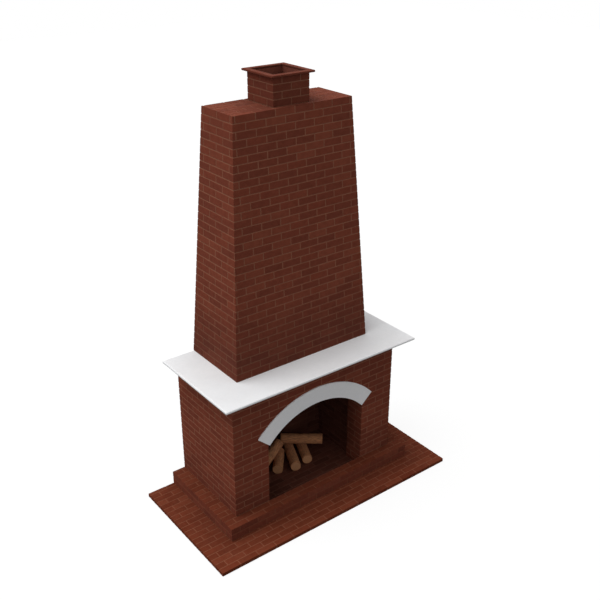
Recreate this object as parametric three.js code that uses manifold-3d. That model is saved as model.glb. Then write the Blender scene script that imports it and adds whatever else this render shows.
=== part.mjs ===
// A wood-burning fireplace: a brick body on a brick plinth and hearth, with a stone arch over its opening,
// a stone mantel, a tapered chimney breast and a short square stack. Inside are the firebrick firebox, the
// throat with its damper, the smoke chamber and the flue.
//
// Millimetres, +Z up, front towards -Y. The origin is on the ground under the middle of the hearth slab.
// The backs of hearth, plinth, body, mantel and breast share one plane.

import * as THREE from 'three';
import { mergeVertices } from 'three/addons/utils/BufferGeometryUtils.js';
import Module from 'manifold-3d';

const wasm = await Module();
wasm.setup();

// Clearances, and how far a cutter runs past what it cuts
const seatGap = 0.3;
const overrun = 5;

// Firebox and the walls round it
const fireboxWidth = 1240;
const fireboxDepth = 526;
const firebrick = 114;
const backingBrick = 129;
const sideWall = 102;
const backWall = 102;
const frontWall = 222;
const jambReturn = 40;
const floorThickness = 32;
const firebackHeight = 380;

// Hearth and plinth
const hearthThickness = 36;
const hearthFront = 291;
const hearthSide = 289;
const plinthHeight = 139;
const plinthFront = 131;
const plinthSide = 139;

// Opening: a jamb up to the springing, then a segmental arch
const jambHeight = 646;
const archRise = 255;
const archRing = 170;
const archInset = 11;
const archProud = 10;
const archStoneInWall = 102;
const wallOverArch = 206;

// Mantel
const mantelThickness = 30;
const mantelOverhang = 153;
const mantelHoleGap = 2;

// Throat, and the smoke chamber over it
const throatBed = 16;
const throatDepth = 130;
const throatInset = 80;
const throatSetback = 15;
const throatLedge = 15;
const chamberFrontWall = 50;
const chamberSideWall = 40;
const chamberBackWall = 60;
const chamberBackSetback = 60;
const chamberUpright = 100;
const hoodHeight = 508;
const hoodFrontWall = 30;
const hoodTopWall = 40;
const shelfFoot = 45;
const dishDepth = 35;
const dishFrontMargin = 28;
const dishBackMargin = 18;

// Damper: frame, flap, hinge pin, and the pull bar on its own pin
const frameThickness = 10;
const flapThickness = 8;
const flapLap = 10;
const flapLift = 0.4;
const flapNotch = 13;
const lugInset = 90;
const lugWidth = 14;
const hingeHeight = 15;
const hingeBehindThroat = 18;
const eyeRadius = 11;
const earWidth = 12;
const earReach = 34;
const earGap = 0.5;
const pinRadius = 6;
const pinCollarRadius = 10;
const pinCollarWidth = 8;
const boreClearance = 0.3;
const pullPinRadius = 4;
const pullPinHeadRadius = 6;
const pullPinHeadWidth = 3;
const bracketWidth = 6;
const bracketDrop = 29;
const bracketRadius = 9;
const pullThickness = 6;
const pullSetback = 24;
const pullWidth = 16;
const pullLength = 193;
const pullRingRadius = 25;
const pullRingHoleRadius = 17;

// Flue, chimney breast and stack
const flueOutside = 382;
const flueWall = 22;
const flueClearance = 3.5;
const chamberClearance = 14;
const breastWall = 102;
const breastTopWall = 44;
const breastTaper = 143;
const breastHeight = 2380;
const capHeight = 68;
const stackHeight = 252;
const collarLip = 35.5;
const collarThickness = 18;

// Firewood
const logRadius = 55;
const logLength = 420;

// Counts
const flueTileCount = 4;
const curveSegments = 12;
const pinSides = 24;
const logSides = 16;
const tiltSteps = 30;

// Levels, from the ground up
const hearthTop = hearthThickness;
const plinthTop = hearthTop + plinthHeight;
const springing = plinthTop + jambHeight;
const archTop = springing + archRise + archRing;
const bodyTop = archTop + wallOverArch;
const mantelTop = bodyTop + mantelThickness;
const floorTop = hearthTop + floorThickness;
const firebackTop = hearthTop + firebackHeight;
const throatSeat = archTop + throatBed;
const throatTop = throatSeat + frameThickness;
const chamberKnee = throatTop + chamberUpright;
const hoodTop = mantelTop + hoodHeight;
const breastTop = mantelTop + breastHeight;
const capBase = breastTop - capHeight;
const stackTop = breastTop + stackHeight;

// Widths, as distances from the middle plane
const fireboxSide = fireboxWidth / 2;
const liningSide = fireboxSide + firebrick;
const backingSide = liningSide + backingBrick;
const bodySide = backingSide + sideWall;
const jamb = fireboxSide - jambReturn;
const plinthEdge = bodySide + plinthSide;
const hearthEdge = plinthEdge + hearthSide;
const mantelEdge = bodySide + mantelOverhang;
const throatSide = fireboxSide - throatInset;
const chamberSide = fireboxSide + chamberSideWall;
const breastBaseSide = chamberSide + chamberClearance + breastWall;

// Depths, as places along Y
const bodyDepth = frontWall + fireboxDepth + firebrick + backWall;
const hearthDepth = bodyDepth + plinthFront + hearthFront;
const backPlane = hearthDepth / 2;
const backWallFront = backPlane - backWall;
const firebackFront = backWallFront - firebrick;
const frontWallBack = firebackFront - fireboxDepth;
const bodyFront = backPlane - bodyDepth;
const relievingArchFront = bodyFront + archStoneInWall;
const plinthFace = bodyFront - plinthFront;
const hearthFace = plinthFace - hearthFront;
const mantelFace = bodyFront - mantelOverhang;
const throatFront = frontWallBack + throatSetback;
const throatBack = throatFront + throatDepth;
const slopeTopFront = throatBack + throatLedge;
const slopeTopBack = slopeTopFront + firebrick;
const rebateFace = frontWallBack - chamberFrontWall;
const chamberBack = backWallFront - chamberBackSetback;
const chamberBackFront = chamberBack - chamberBackWall;
const hingeAxis = throatBack + hingeBehindThroat;
const hingeLevel = throatTop + hingeHeight;
const breastTopDepth = flueOutside + 2 * (flueClearance + breastTopWall);
const breastBaseDepth = breastTopDepth + 2 * breastTaper;
const flueAxis = backPlane - breastBaseDepth / 2;
const flueHalf = flueOutside / 2;
const flueBoreHalf = flueHalf - flueWall;

// Finishes
const wallBrick = { color: 0x632f22, roughness: 0.85, metalness: 0 };
const hearthBrick = { color: 0x70361f, roughness: 0.85, metalness: 0 };
const paleStone = { color: 0xdedede, roughness: 0.7, metalness: 0 };
const fireclay = { color: 0x54382b, roughness: 0.95, metalness: 0 };
const roughBrick = { color: 0x7a4332, roughness: 0.95, metalness: 0 };
const flueClay = { color: 0x8e4a33, roughness: 0.8, metalness: 0 };
const castIron = { color: 0x2b2a29, roughness: 0.6, metalness: 1 };
const bark = { color: 0x8a6548, roughness: 0.9, metalness: 0 };

const hands = [['left', -1], ['right', 1]];

// The stretch from one distance to a larger one, on the left (-1) or right (+1) of the middle plane
function onSide(hand, near, far) {
  return hand > 0 ? [near, far] : [-far, -near];
}

function across(half) {
  return [-half, half];
}

// A block whose floor and roof are rectangles, each { x: [left, right], y: [front, back] }
function taperedBlock(floor, roof, [floorLevel, roofLevel]) {
  const shape = new THREE.BoxGeometry(1, 1, 1);
  const corners = shape.attributes.position;
  for (let i = 0; i < corners.count; i += 1) {
    const onRoof = corners.getZ(i) > 0;
    const outline = onRoof ? roof : floor;
    const x = outline.x[corners.getX(i) > 0 ? 1 : 0];
    const y = outline.y[corners.getY(i) > 0 ? 1 : 0];
    corners.setXYZ(i, x, y, onRoof ? roofLevel : floorLevel);
  }
  return shape;
}

function block(x, y, z) {
  return taperedBlock({ x, y }, { x, y }, z);
}

// An outline seen from the front, in X and Z, carried from front to back
function frontProfile(outline, [front, back]) {
  const shape = new THREE.ExtrudeGeometry(outline, { depth: 1, bevelEnabled: false, curveSegments });
  const points = shape.attributes.position;
  for (let i = 0; i < points.count; i += 1) {
    points.setXYZ(i, points.getX(i), points.getZ(i) > 0 ? front : back, points.getY(i));
  }
  return shape;
}

// An outline seen from the side, in Y and Z, carried from left to right
function sideProfile(outline, [left, right]) {
  const shape = new THREE.ExtrudeGeometry(outline, { depth: 1, bevelEnabled: false, curveSegments });
  const points = shape.attributes.position;
  for (let i = 0; i < points.count; i += 1) {
    points.setXYZ(i, points.getZ(i) > 0 ? right : left, points.getX(i), points.getY(i));
  }
  return shape;
}

function polygon(corners) {
  return new THREE.Shape(corners.map(([along, level]) => new THREE.Vector2(along, level)));
}

// The circle through both ends and the crown of an arc
function arcOver(half, rise) {
  const radius = (half * half + rise * rise) / (2 * rise);
  return { radius, halfAngle: Math.asin(half / radius) };
}

// A round bar or bore along X
function barAlongX(radius, [left, right], y, z) {
  const bar = new THREE.CylinderGeometry(radius, radius, right - left, pinSides);
  bar.rotateZ(Math.PI / 2);
  bar.translate((left + right) / 2, y, z);
  return bar;
}

function toSolid(shape) {
  const bare = shape.clone();
  bare.deleteAttribute('normal');
  bare.deleteAttribute('uv');
  const merged = mergeVertices(bare);
  const vertProperties = merged.attributes.position.array;
  const triVerts = new Uint32Array(merged.index.array);
  return new wasm.Manifold(new wasm.Mesh({ numProp: 3, vertProperties, triVerts }));
}

// Joins the first shapes and takes the second ones away
function carve(kept, removed) {
  let solid = kept.map(toSolid).reduce((whole, piece) => whole.add(piece));
  for (const cutter of removed) {
    solid = solid.subtract(toSolid(cutter));
  }
  const mesh = solid.getMesh();
  const shape = new THREE.BufferGeometry();
  shape.setAttribute('position', new THREE.BufferAttribute(mesh.vertProperties, 3));
  shape.setIndex(new THREE.BufferAttribute(mesh.triVerts, 1));
  shape.computeVertexNormals();
  return shape;
}

const fireplace = new THREE.Group();

function add(name, finish, shape) {
  const piece = new THREE.Mesh(shape, new THREE.MeshStandardMaterial(finish));
  piece.name = name;
  fireplace.add(piece);
  return piece;
}

function addHearthAndPlinth() {
  const level = [hearthTop, plinthTop];
  add('hearth_slab', hearthBrick, block(across(hearthEdge), [hearthFace, backPlane], [0, hearthTop]));
  add('plinth_front', wallBrick, block(across(plinthEdge), [plinthFace, bodyFront], level));
  add('plinth_back', wallBrick, block(across(backingSide), [backWallFront, backPlane], level));
  for (const [hand, side] of hands) {
    const outer = onSide(side, backingSide, plinthEdge);
    const inner = onSide(side, jamb, backingSide);
    add(`plinth_${hand}`, wallBrick, block(outer, [bodyFront, backPlane], level));
    add(`plinth_jamb_${hand}`, wallBrick, block(inner, [bodyFront, frontWallBack], level));
  }
}

// The stone arch and the relieving arch behind it have one outline. The wall over them has a pocket for
// both, and a rebate at the back for the damper frame and the smoke chamber.
function addFrontWall() {
  const arc = arcOver(jamb - archInset, archRise);
  const centre = springing + archRise - arc.radius;
  const outerRadius = arc.radius + archRing;
  const upright = Math.PI / 2;

  const ring = new THREE.Shape();
  ring.absarc(0, centre, outerRadius, upright - arc.halfAngle, upright + arc.halfAngle, false);
  ring.absarc(0, centre, arc.radius, upright + arc.halfAngle, upright - arc.halfAngle, true);
  ring.closePath();
  add('stone_arch', paleStone, frontProfile(ring, [bodyFront - archProud, relievingArchFront]));
  add('relieving_arch', roughBrick, frontProfile(ring, [relievingArchFront, frontWallBack]));

  const pocketRadius = outerRadius + seatGap;
  const pocketAngle = arc.halfAngle + seatGap / outerRadius;
  const skewbackFoot = centre + jamb / Math.tan(pocketAngle);
  const wall = new THREE.Shape();
  wall.moveTo(jamb, springing);
  wall.lineTo(jamb, skewbackFoot);
  wall.absarc(0, centre, pocketRadius, upright - pocketAngle, upright + pocketAngle, false);
  wall.lineTo(-jamb, skewbackFoot);
  wall.lineTo(-jamb, springing);
  wall.lineTo(-bodySide, springing);
  wall.lineTo(-bodySide, bodyTop);
  wall.lineTo(bodySide, bodyTop);
  wall.lineTo(bodySide, springing);
  wall.closePath();
  const rebate = block(
    across(chamberSide + seatGap),
    [rebateFace, frontWallBack + overrun],
    [throatSeat, bodyTop + overrun],
  );
  add('front_spandrel', wallBrick, carve([frontProfile(wall, [bodyFront, frontWallBack])], [rebate]));

  for (const [hand, side] of hands) {
    const pier = block(onSide(side, jamb, bodySide), [bodyFront, frontWallBack], [plinthTop, springing]);
    add(`front_pier_${hand}`, wallBrick, pier);
  }
}

function addBodyWalls() {
  const level = [plinthTop, bodyTop];
  add('back_wall', wallBrick, block(across(bodySide), [backWallFront, backPlane], level));
  for (const [hand, side] of hands) {
    const wall = block(onSide(side, backingSide, bodySide), [frontWallBack, backWallFront], level);
    add(`side_wall_${hand}`, wallBrick, wall);
  }
}

function addFirebox() {
  const depth = [frontWallBack, backWallFront];
  for (const [hand, side] of hands) {
    const lining = block(onSide(side, fireboxSide, liningSide), depth, [hearthTop, throatTop]);
    const backing = block(onSide(side, liningSide, backingSide), depth, [hearthTop, bodyTop]);
    add(`lining_${hand}`, fireclay, lining);
    add(`backing_${hand}`, roughBrick, backing);
  }

  // The floor runs on between the jambs, up to the kerb of the plinth
  const inside = block(across(fireboxSide), [frontWallBack, firebackFront], [hearthTop, floorTop]);
  const threshold = block(across(jamb), [bodyFront, frontWallBack], [hearthTop, floorTop]);
  add('firebox_floor', fireclay, carve([inside, threshold], []));

  const width = across(fireboxSide - seatGap);
  const upright = block(width, [firebackFront, backWallFront], [hearthTop, firebackTop]);
  add('fireback', fireclay, upright);
  const foot = { x: width, y: [firebackFront, backWallFront] };
  const head = { x: width, y: [slopeTopFront, slopeTopBack] };
  add('fireback_slope', fireclay, taperedBlock(foot, head, [firebackTop, throatSeat]));
}

// The shelf fills the corner behind the sloping fireback. The dish in its top turns a downdraught back up.
function addSmokeShelf() {
  const foot = firebackTop + shelfFoot;
  const lean = (backWallFront - slopeTopBack) / (throatSeat - firebackTop);
  const footFront = backWallFront - lean * shelfFoot + seatGap;
  const topFront = slopeTopBack + seatGap;
  const dishFront = topFront + dishFrontMargin;
  const dishBack = chamberBackFront - dishBackMargin;
  const half = (dishBack - dishFront) / 2;
  const arc = arcOver(half, dishDepth);
  const down = -Math.PI / 2;

  const outline = new THREE.Shape();
  outline.moveTo(footFront, foot);
  outline.lineTo(backWallFront, foot);
  outline.lineTo(backWallFront, throatTop);
  const centre = throatTop + arc.radius - dishDepth;
  outline.absarc(dishFront + half, centre, arc.radius, down + arc.halfAngle, down - arc.halfAngle, true);
  outline.lineTo(topFront, throatTop);
  outline.lineTo(topFront, throatSeat);
  outline.closePath();
  add('smoke_shelf', roughBrick, sideProfile(outline, across(fireboxSide - seatGap)));
}

// The flap is hinged along its back edge, behind the throat, and its front edge lifts. Ears on the flap
// and lugs on the frame share one pin. The pull bar hangs from a bracket under the flap's front.
function addDamper() {
  const frameSide = fireboxSide - seatGap;
  const lugCentre = throatSide - lugInset;
  const lugPlaces = [-lugCentre, 0, lugCentre];
  const boreRadius = pinRadius + boreClearance;
  const reach = lugCentre + lugWidth;
  const hingeBore = () => barAlongX(boreRadius, across(reach + earWidth), hingeAxis, hingeLevel);

  const flange = block(across(frameSide), [rebateFace + seatGap, slopeTopBack], [throatSeat, throatTop]);
  const throat = block(
    across(throatSide),
    [throatFront, throatBack],
    [throatSeat - overrun, throatTop + overrun],
  );
  const lugs = lugPlaces.flatMap((place) => {
    const width = [place - lugWidth / 2, place + lugWidth / 2];
    const foot = [throatSeat, hingeLevel];
    const stem = block(width, [hingeAxis - eyeRadius, hingeAxis + eyeRadius], foot);
    return [stem, barAlongX(eyeRadius, width, hingeAxis, hingeLevel)];
  });
  add('damper_frame', castIron, carve([flange, ...lugs], [throat, hingeBore()]));

  const flapBase = throatTop + flapLift;
  const plate = block(
    across(throatSide + flapLap),
    [throatFront - flapLap, hingeAxis - flapNotch],
    [flapBase, flapBase + flapThickness],
  );
  const ears = lugPlaces.flatMap((place) => hands.flatMap(([, side]) => {
    const near = place + side * (lugWidth / 2 + earGap);
    const far = near + side * earWidth;
    const width = [Math.min(near, far), Math.max(near, far)];
    const arm = block(width, [hingeAxis - earReach, hingeAxis], [flapBase, hingeLevel]);
    return [arm, barAlongX(eyeRadius, width, hingeAxis, hingeLevel)];
  }));
  const pullAxis = throatFront + pullSetback;
  const pullLevel = hingeLevel - bracketDrop;
  const bracketNear = pullThickness / 2 + earGap;
  const bracketFar = bracketNear + bracketWidth;
  const bracket = hands.flatMap(([, side]) => {
    const width = onSide(side, bracketNear, bracketFar);
    const arm = block(
      width,
      [pullAxis - bracketRadius, pullAxis + bracketRadius],
      [pullLevel, flapBase + flapThickness / 2],
    );
    return [arm, barAlongX(bracketRadius, width, pullAxis, pullLevel)];
  });
  const pullBoreRadius = pullPinRadius + boreClearance;
  const pullBore = () => barAlongX(pullBoreRadius, across(bracketFar + overrun), pullAxis, pullLevel);
  add('damper_flap', castIron, carve([plate, ...ears, ...bracket], [hingeBore(), pullBore()]));

  const shaftEnd = lugCentre + lugWidth / 2 + earWidth + 2 * earGap + pinCollarWidth;
  const shaft = barAlongX(pinRadius, across(shaftEnd), hingeAxis, hingeLevel);
  const collars = hands.map(([, side]) => {
    const width = onSide(side, shaftEnd - pinCollarWidth, shaftEnd);
    return barAlongX(pinCollarRadius, width, hingeAxis, hingeLevel);
  });
  add('damper_pin', castIron, carve([shaft, ...collars], []));

  const pullPinEnd = bracketFar + earGap + pullPinHeadWidth;
  const pullShaft = barAlongX(pullPinRadius, across(pullPinEnd), pullAxis, pullLevel);
  const heads = hands.map(([, side]) => {
    const width = onSide(side, pullPinEnd - pullPinHeadWidth, pullPinEnd);
    return barAlongX(pullPinHeadRadius, width, pullAxis, pullLevel);
  });
  add('pull_pin', castIron, carve([pullShaft, ...heads], []));

  const barWidth = across(pullThickness / 2);
  const ringLevel = pullLevel - pullLength;
  const stem = block(barWidth, [pullAxis - pullWidth / 2, pullAxis + pullWidth / 2], [ringLevel, pullLevel]);
  const eye = barAlongX(bracketRadius, barWidth, pullAxis, pullLevel);
  const ring = barAlongX(pullRingRadius, barWidth, pullAxis, ringLevel);
  const ringHole = barAlongX(pullRingHoleRadius, across(pullThickness), pullAxis, ringLevel);
  add('damper_pull', castIron, carve([stem, eye, ring], [ringHole, pullBore()]));
}

// Lower part of the smoke chamber: its front stands up from the throat, then leans back
function addSmokeChamber() {
  const kneeFront = flueAxis - breastBaseDepth / 2 + breastWall + seatGap;
  const kneeInside = kneeFront + hoodFrontWall;
  const width = across(chamberSide);
  const front = polygon([
    [rebateFace + seatGap, throatTop],
    [frontWallBack, throatTop],
    [frontWallBack, chamberKnee],
    [kneeInside, mantelTop],
    [kneeFront, mantelTop],
    [rebateFace + seatGap, chamberKnee],
  ]);
  add('smoke_chamber_front', roughBrick, sideProfile(front, width));
  const back = block(width, [chamberBackFront, chamberBack], [throatTop, mantelTop]);
  add('smoke_chamber_back', roughBrick, back);
  const side = polygon([
    [frontWallBack + seatGap, throatTop],
    [chamberBackFront, throatTop],
    [chamberBackFront, mantelTop],
    [kneeInside + seatGap, mantelTop],
    [frontWallBack + seatGap, chamberKnee],
  ]);
  for (const [hand, sign] of hands) {
    const panel = sideProfile(side, onSide(sign, fireboxSide, chamberSide));
    add(`smoke_chamber_${hand}`, roughBrick, panel);
  }
  return { kneeFront, kneeInside };
}

// Upper part: four leaning panels gather the smoke to the flue
function addSmokeHood({ kneeFront, kneeInside }) {
  const level = [mantelTop, hoodTop];
  const headSide = flueBoreHalf + hoodTopWall;
  const headFront = flueAxis - headSide;
  const headBack = flueAxis + headSide;
  const boreFront = flueAxis - flueBoreHalf;
  const boreBack = flueAxis + flueBoreHalf;
  const foot = (y) => ({ x: across(chamberSide), y });
  const head = (y) => ({ x: across(headSide), y });
  const front = taperedBlock(foot([kneeFront, kneeInside]), head([headFront, boreFront]), level);
  const back = taperedBlock(foot([chamberBackFront, chamberBack]), head([boreBack, headBack]), level);
  add('smoke_hood_front', roughBrick, front);
  add('smoke_hood_back', roughBrick, back);
  for (const [hand, side] of hands) {
    const panelFoot = {
      x: onSide(side, fireboxSide, chamberSide),
      y: [kneeInside + seatGap, chamberBackFront - seatGap],
    };
    const panelHead = {
      x: onSide(side, flueBoreHalf, headSide),
      y: [boreFront + seatGap, boreBack - seatGap],
    };
    add(`smoke_hood_${hand}`, roughBrick, taperedBlock(panelFoot, panelHead, level));
  }
}

// The mantel slab lies on the body and has a hole for the smoke chamber
function addMantel({ kneeFront }) {
  const lean = (kneeFront - rebateFace) / (mantelTop - chamberKnee);
  const chamberFrontHere = rebateFace + lean * (bodyTop - chamberKnee);
  const slab = block(across(mantelEdge), [mantelFace, backPlane], [bodyTop, mantelTop]);
  const hole = block(
    across(chamberSide + mantelHoleGap),
    [chamberFrontHere - mantelHoleGap, chamberBack + mantelHoleGap],
    [bodyTop - overrun, mantelTop + overrun],
  );
  add('mantel_slab', paleStone, carve([slab], [hole]));
}

// Outside and inside of the breast at a level, as distances from the flue's axis
function breastAt(level) {
  const share = (level - mantelTop) / breastHeight;
  const outX = breastBaseSide - breastTaper * share;
  const outY = breastBaseDepth / 2 - breastTaper * share;
  const frontWallHere = THREE.MathUtils.lerp(breastWall, breastTopWall, share);
  return { outX, outY, inX: outX - breastWall, inY: outY - frontWallHere };
}

function addBreast() {
  const level = [mantelTop, capBase];
  const [base, head] = level.map(breastAt);
  const front = ({ outX, outY, inY }) => ({ x: across(outX), y: [flueAxis - outY, flueAxis - inY] });
  const back = ({ outX, outY, inY }) => ({ x: across(outX), y: [flueAxis + inY, flueAxis + outY] });
  add('breast_front', wallBrick, taperedBlock(front(base), front(head), level));
  add('breast_back', wallBrick, taperedBlock(back(base), back(head), level));
  for (const [hand, side] of hands) {
    const wall = ({ outX, inX, inY }) => ({
      x: onSide(side, inX, outX),
      y: [flueAxis - inY + seatGap, flueAxis + inY - seatGap],
    });
    add(`breast_${hand}`, wallBrick, taperedBlock(wall(base), wall(head), level));
  }

  const whole = ({ outX, outY }) => ({ x: across(outX), y: [flueAxis - outY, flueAxis + outY] });
  const course = taperedBlock(whole(head), whole(breastAt(breastTop)), [capBase, breastTop]);
  const holeHalf = flueHalf + flueClearance;
  const hole = block(
    across(holeHalf),
    [flueAxis - holeHalf, flueAxis + holeHalf],
    [capBase - overrun, breastTop + overrun],
  );
  add('breast_cap', wallBrick, carve([course], [hole]));
}

// Square tubes of one length stand on the hood. The last one comes out of the breast as the stack.
function addFlue() {
  const squareTube = (outerHalf, [low, high]) => {
    const outside = block(across(outerHalf), [flueAxis - outerHalf, flueAxis + outerHalf], [low, high]);
    const bore = block(
      across(flueBoreHalf),
      [flueAxis - flueBoreHalf, flueAxis + flueBoreHalf],
      [low - overrun, high + overrun],
    );
    return carve([outside], [bore]);
  };
  const tileLength = (stackTop - hoodTop) / flueTileCount;
  for (let i = 0; i < flueTileCount; i += 1) {
    const isStack = i === flueTileCount - 1;
    const low = hoodTop + i * tileLength;
    const name = isStack ? 'flue_stack' : `flue_tile_${i + 1}`;
    add(name, isStack ? wallBrick : flueClay, squareTube(flueHalf, [low, low + tileLength]));
  }
  const collar = squareTube(flueHalf + collarLip, [stackTop, stackTop + collarThickness]);
  add('flue_collar', wallBrick, collar);
}

// Five logs in a fan. The first three lie on the floor, the fourth lies level across the second and third,
// and the fifth has its foot on the floor and leans on the first. A log is known by its inner end, in log
// radii across from the middle and ahead of the fireback, by the way its axis runs from there in plan, by
// its share of the log length, and by the layers of logs that it lies on.
const logShares = [
  { across: 0.12, ahead: 1.93, heading: 230.5, length: 0.75, layersBelow: 0 },
  { across: 2.93, ahead: 0.55, heading: 246, length: 1.02, layersBelow: 0 },
  { across: 5.24, ahead: 1.67, heading: 246.7, length: 0.79, layersBelow: 0 },
  { across: 1.17, ahead: 0.87, heading: -38, length: 1.06, layersBelow: 1 },
  { across: -0.2, ahead: 2.4, heading: 197, length: 0.86, layersBelow: 0, leansOn: 0 },
];

function logAxis(share, tilt) {
  const length = logLength * share.length;
  const heading = THREE.MathUtils.degToRad(share.heading);
  const bedLevel = floorTop + share.layersBelow * (2 * logRadius + seatGap);
  const footLevel = bedLevel + seatGap + logRadius * Math.cos(tilt);
  const inner = new THREE.Vector3(
    logRadius * share.across,
    firebackFront - logRadius * share.ahead,
    footLevel + length * Math.sin(tilt),
  );
  const along = new THREE.Vector3(Math.cos(heading), Math.sin(heading), -Math.tan(tilt)).normalize();
  return new THREE.Line3(inner, inner.clone().addScaledVector(along, length));
}

// Halves the tilt's range until the log just clears the one it leans on
function leaningAxis(share, support) {
  const apart = 2 * logRadius + seatGap;
  let low = 0;
  let high = Math.PI / 4;
  for (let i = 0; i < tiltSteps; i += 1) {
    const tilt = (low + high) / 2;
    if (logAxis(share, tilt).distanceSqToLine3(support) < apart * apart) {
      low = tilt;
    } else {
      high = tilt;
    }
  }
  return logAxis(share, high);
}

function addFirewood() {
  const up = new THREE.Vector3(0, 1, 0);
  logShares.forEach((share, i) => {
    const leans = share.leansOn !== undefined;
    const axis = leans ? leaningAxis(share, logAxis(logShares[share.leansOn], 0)) : logAxis(share, 0);
    const shape = new THREE.CylinderGeometry(logRadius, logRadius, axis.distance(), logSides);
    const log = add(`log_${i + 1}`, bark, shape);
    axis.getCenter(log.position);
    log.quaternion.setFromUnitVectors(up, axis.delta(new THREE.Vector3()).normalize());
  });
}

addHearthAndPlinth();
addFrontWall();
addBodyWalls();
addFirebox();
addSmokeShelf();
addDamper();
const knee = addSmokeChamber();
addSmokeHood(knee);
addMantel(knee);
addBreast();
addFlue();
addFirewood();

export default fireplace;
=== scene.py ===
# %% [markdown]
# # A brick fireplace, dressed in Blender
#
# The solids of the fireplace come from its CAD model and stay where they are. This lesson gives them their
# looks: bricks with real joints between them, eased stone, bark on the logs, soot in the firebox.
# Everything is in metres, with the front towards -Y and the ground at zero.

# %% Load the solids
import math
import random

import bmesh
import bpy
import numpy as np
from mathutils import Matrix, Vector, noise
from mathutils.geometry import delaunay_2d_cdt


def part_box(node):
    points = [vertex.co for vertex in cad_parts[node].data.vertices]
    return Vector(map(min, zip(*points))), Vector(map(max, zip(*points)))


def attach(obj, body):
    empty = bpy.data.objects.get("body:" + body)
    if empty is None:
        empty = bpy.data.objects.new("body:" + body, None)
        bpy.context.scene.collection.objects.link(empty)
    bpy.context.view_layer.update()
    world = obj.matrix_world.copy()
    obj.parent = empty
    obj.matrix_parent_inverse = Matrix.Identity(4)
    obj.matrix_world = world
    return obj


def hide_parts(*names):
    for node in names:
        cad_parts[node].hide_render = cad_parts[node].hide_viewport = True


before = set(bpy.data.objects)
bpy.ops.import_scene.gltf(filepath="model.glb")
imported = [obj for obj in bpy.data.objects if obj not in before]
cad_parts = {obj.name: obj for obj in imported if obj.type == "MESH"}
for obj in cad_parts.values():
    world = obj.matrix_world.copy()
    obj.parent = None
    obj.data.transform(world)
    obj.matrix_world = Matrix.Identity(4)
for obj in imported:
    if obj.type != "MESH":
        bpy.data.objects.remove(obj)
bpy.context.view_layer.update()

# %% [markdown]
# ## Camera
#
# The photograph looks down on the fireplace from its front left, from about eight metres away. Its place
# was worked out from the straight edges of plinth, mantel and chimney, so it can be set here as numbers.
# Aiming by eye would do for a sketch, but then the edges would never quite line up with the photograph.

# %% Camera at the photograph's angle
SENSOR_MM = 36
LENS_MM = 50.19
CAMERA_PLACE = (-4.256, -5.586, 5.475)
CAMERA_TILT = 64.09
CAMERA_TURN = -37.29
camera_data = bpy.data.cameras.new("photo_camera")
camera_data.sensor_width = SENSOR_MM
camera_data.lens = LENS_MM
camera = bpy.data.objects.new("photo_camera", camera_data)
camera.location = CAMERA_PLACE
camera.rotation_euler = (math.radians(CAMERA_TILT), 0, math.radians(CAMERA_TURN))
bpy.context.scene.collection.objects.link(camera)
bpy.context.scene.camera = camera
print("camera", tuple(round(c, 3) for c in camera.location), "lens", camera_data.lens)

# %% [markdown]
# ## Studio
#
# A node takes several calls to make: one to add it, and one for each setting, value and link. One short
# function does them all. It serves the studio here and every material later.

# %% A short way to place a node
def put(tree, kind, inputs=None, **settings):
    made = tree.nodes.new(kind)
    for name, value in settings.items():
        setattr(made, name, value)
    for name, value in (inputs or {}).items():
        if isinstance(value, bpy.types.NodeSocket):
            tree.links.new(value, made.inputs[name])
        else:
            made.inputs[name].default_value = value
    return made


print("nodes can be placed")

# %% [markdown]
# A pale floor, an even dome of light and one broad, soft lamp from the upper left and a little behind: the
# top of the mantel is the brightest face, the left sides come next and the front is the darkest. A sun with
# a wide angle gives that soft edge without a hot spot. The world shows white to the camera and in
# reflections, while it lights the bricks at a lower strength, so the background is white and the colours
# aren't washed out.

# %% World, lamp and view
scene = bpy.context.scene
scene.view_settings.view_transform = "Standard"

DOME_STRENGTH = 0.50
WHITE = (1, 1, 1, 1)
world = bpy.data.worlds.new("studio_dome")
scene.world = world
world.use_nodes = True
tree = world.node_tree
tree.nodes.clear()
rays = put(tree, "ShaderNodeLightPath").outputs
seen = rays["Is Camera Ray"]
for ray in ("Is Glossy Ray", "Is Transmission Ray"):
    seen = put(tree, "ShaderNodeMath", {0: seen, 1: rays[ray]}, operation="ADD", use_clamp=True).outputs[0]
dome = put(tree, "ShaderNodeBackground", {"Color": WHITE, "Strength": DOME_STRENGTH})
white = put(tree, "ShaderNodeBackground", {"Color": WHITE, "Strength": 1})
choose = put(tree, "ShaderNodeMixShader", {0: seen, 1: dome.outputs[0], 2: white.outputs[0]})
put(tree, "ShaderNodeOutputWorld", {"Surface": choose.outputs[0]})

LAMP_STRENGTH = 2.0
LAMP_SPREAD = 50
lamp_data = bpy.data.lights.new("soft_key", "SUN")
lamp_data.energy = LAMP_STRENGTH
lamp_data.angle = math.radians(LAMP_SPREAD)
lamp = bpy.data.objects.new("soft_key", lamp_data)
towards_lamp = Vector((-0.42, 0.12, 0.9))
lamp.rotation_euler = towards_lamp.to_track_quat("Z", "Y").to_euler()
scene.collection.objects.link(lamp)
print("dome", DOME_STRENGTH, "lamp", lamp_data.energy)

# %% [markdown]
# The floor is one big sheet under the hearth. To the camera it adds a little light of its own, just enough
# that its bare parts read as white, while the shadow round the hearth stays.

# %% Floor
FLOOR_HALF = 30
FLOOR_DROP = 0.0005
floor_mesh = bpy.data.meshes.new("studio_floor")
corners = [(x * FLOOR_HALF, y * FLOOR_HALF, -FLOOR_DROP) for x, y in ((-1, -1), (1, -1), (1, 1), (-1, 1))]
floor_mesh.from_pydata(corners, [], [(0, 1, 2, 3)])
floor = bpy.data.objects.new("studio_floor", floor_mesh)
scene.collection.objects.link(floor)

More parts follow.
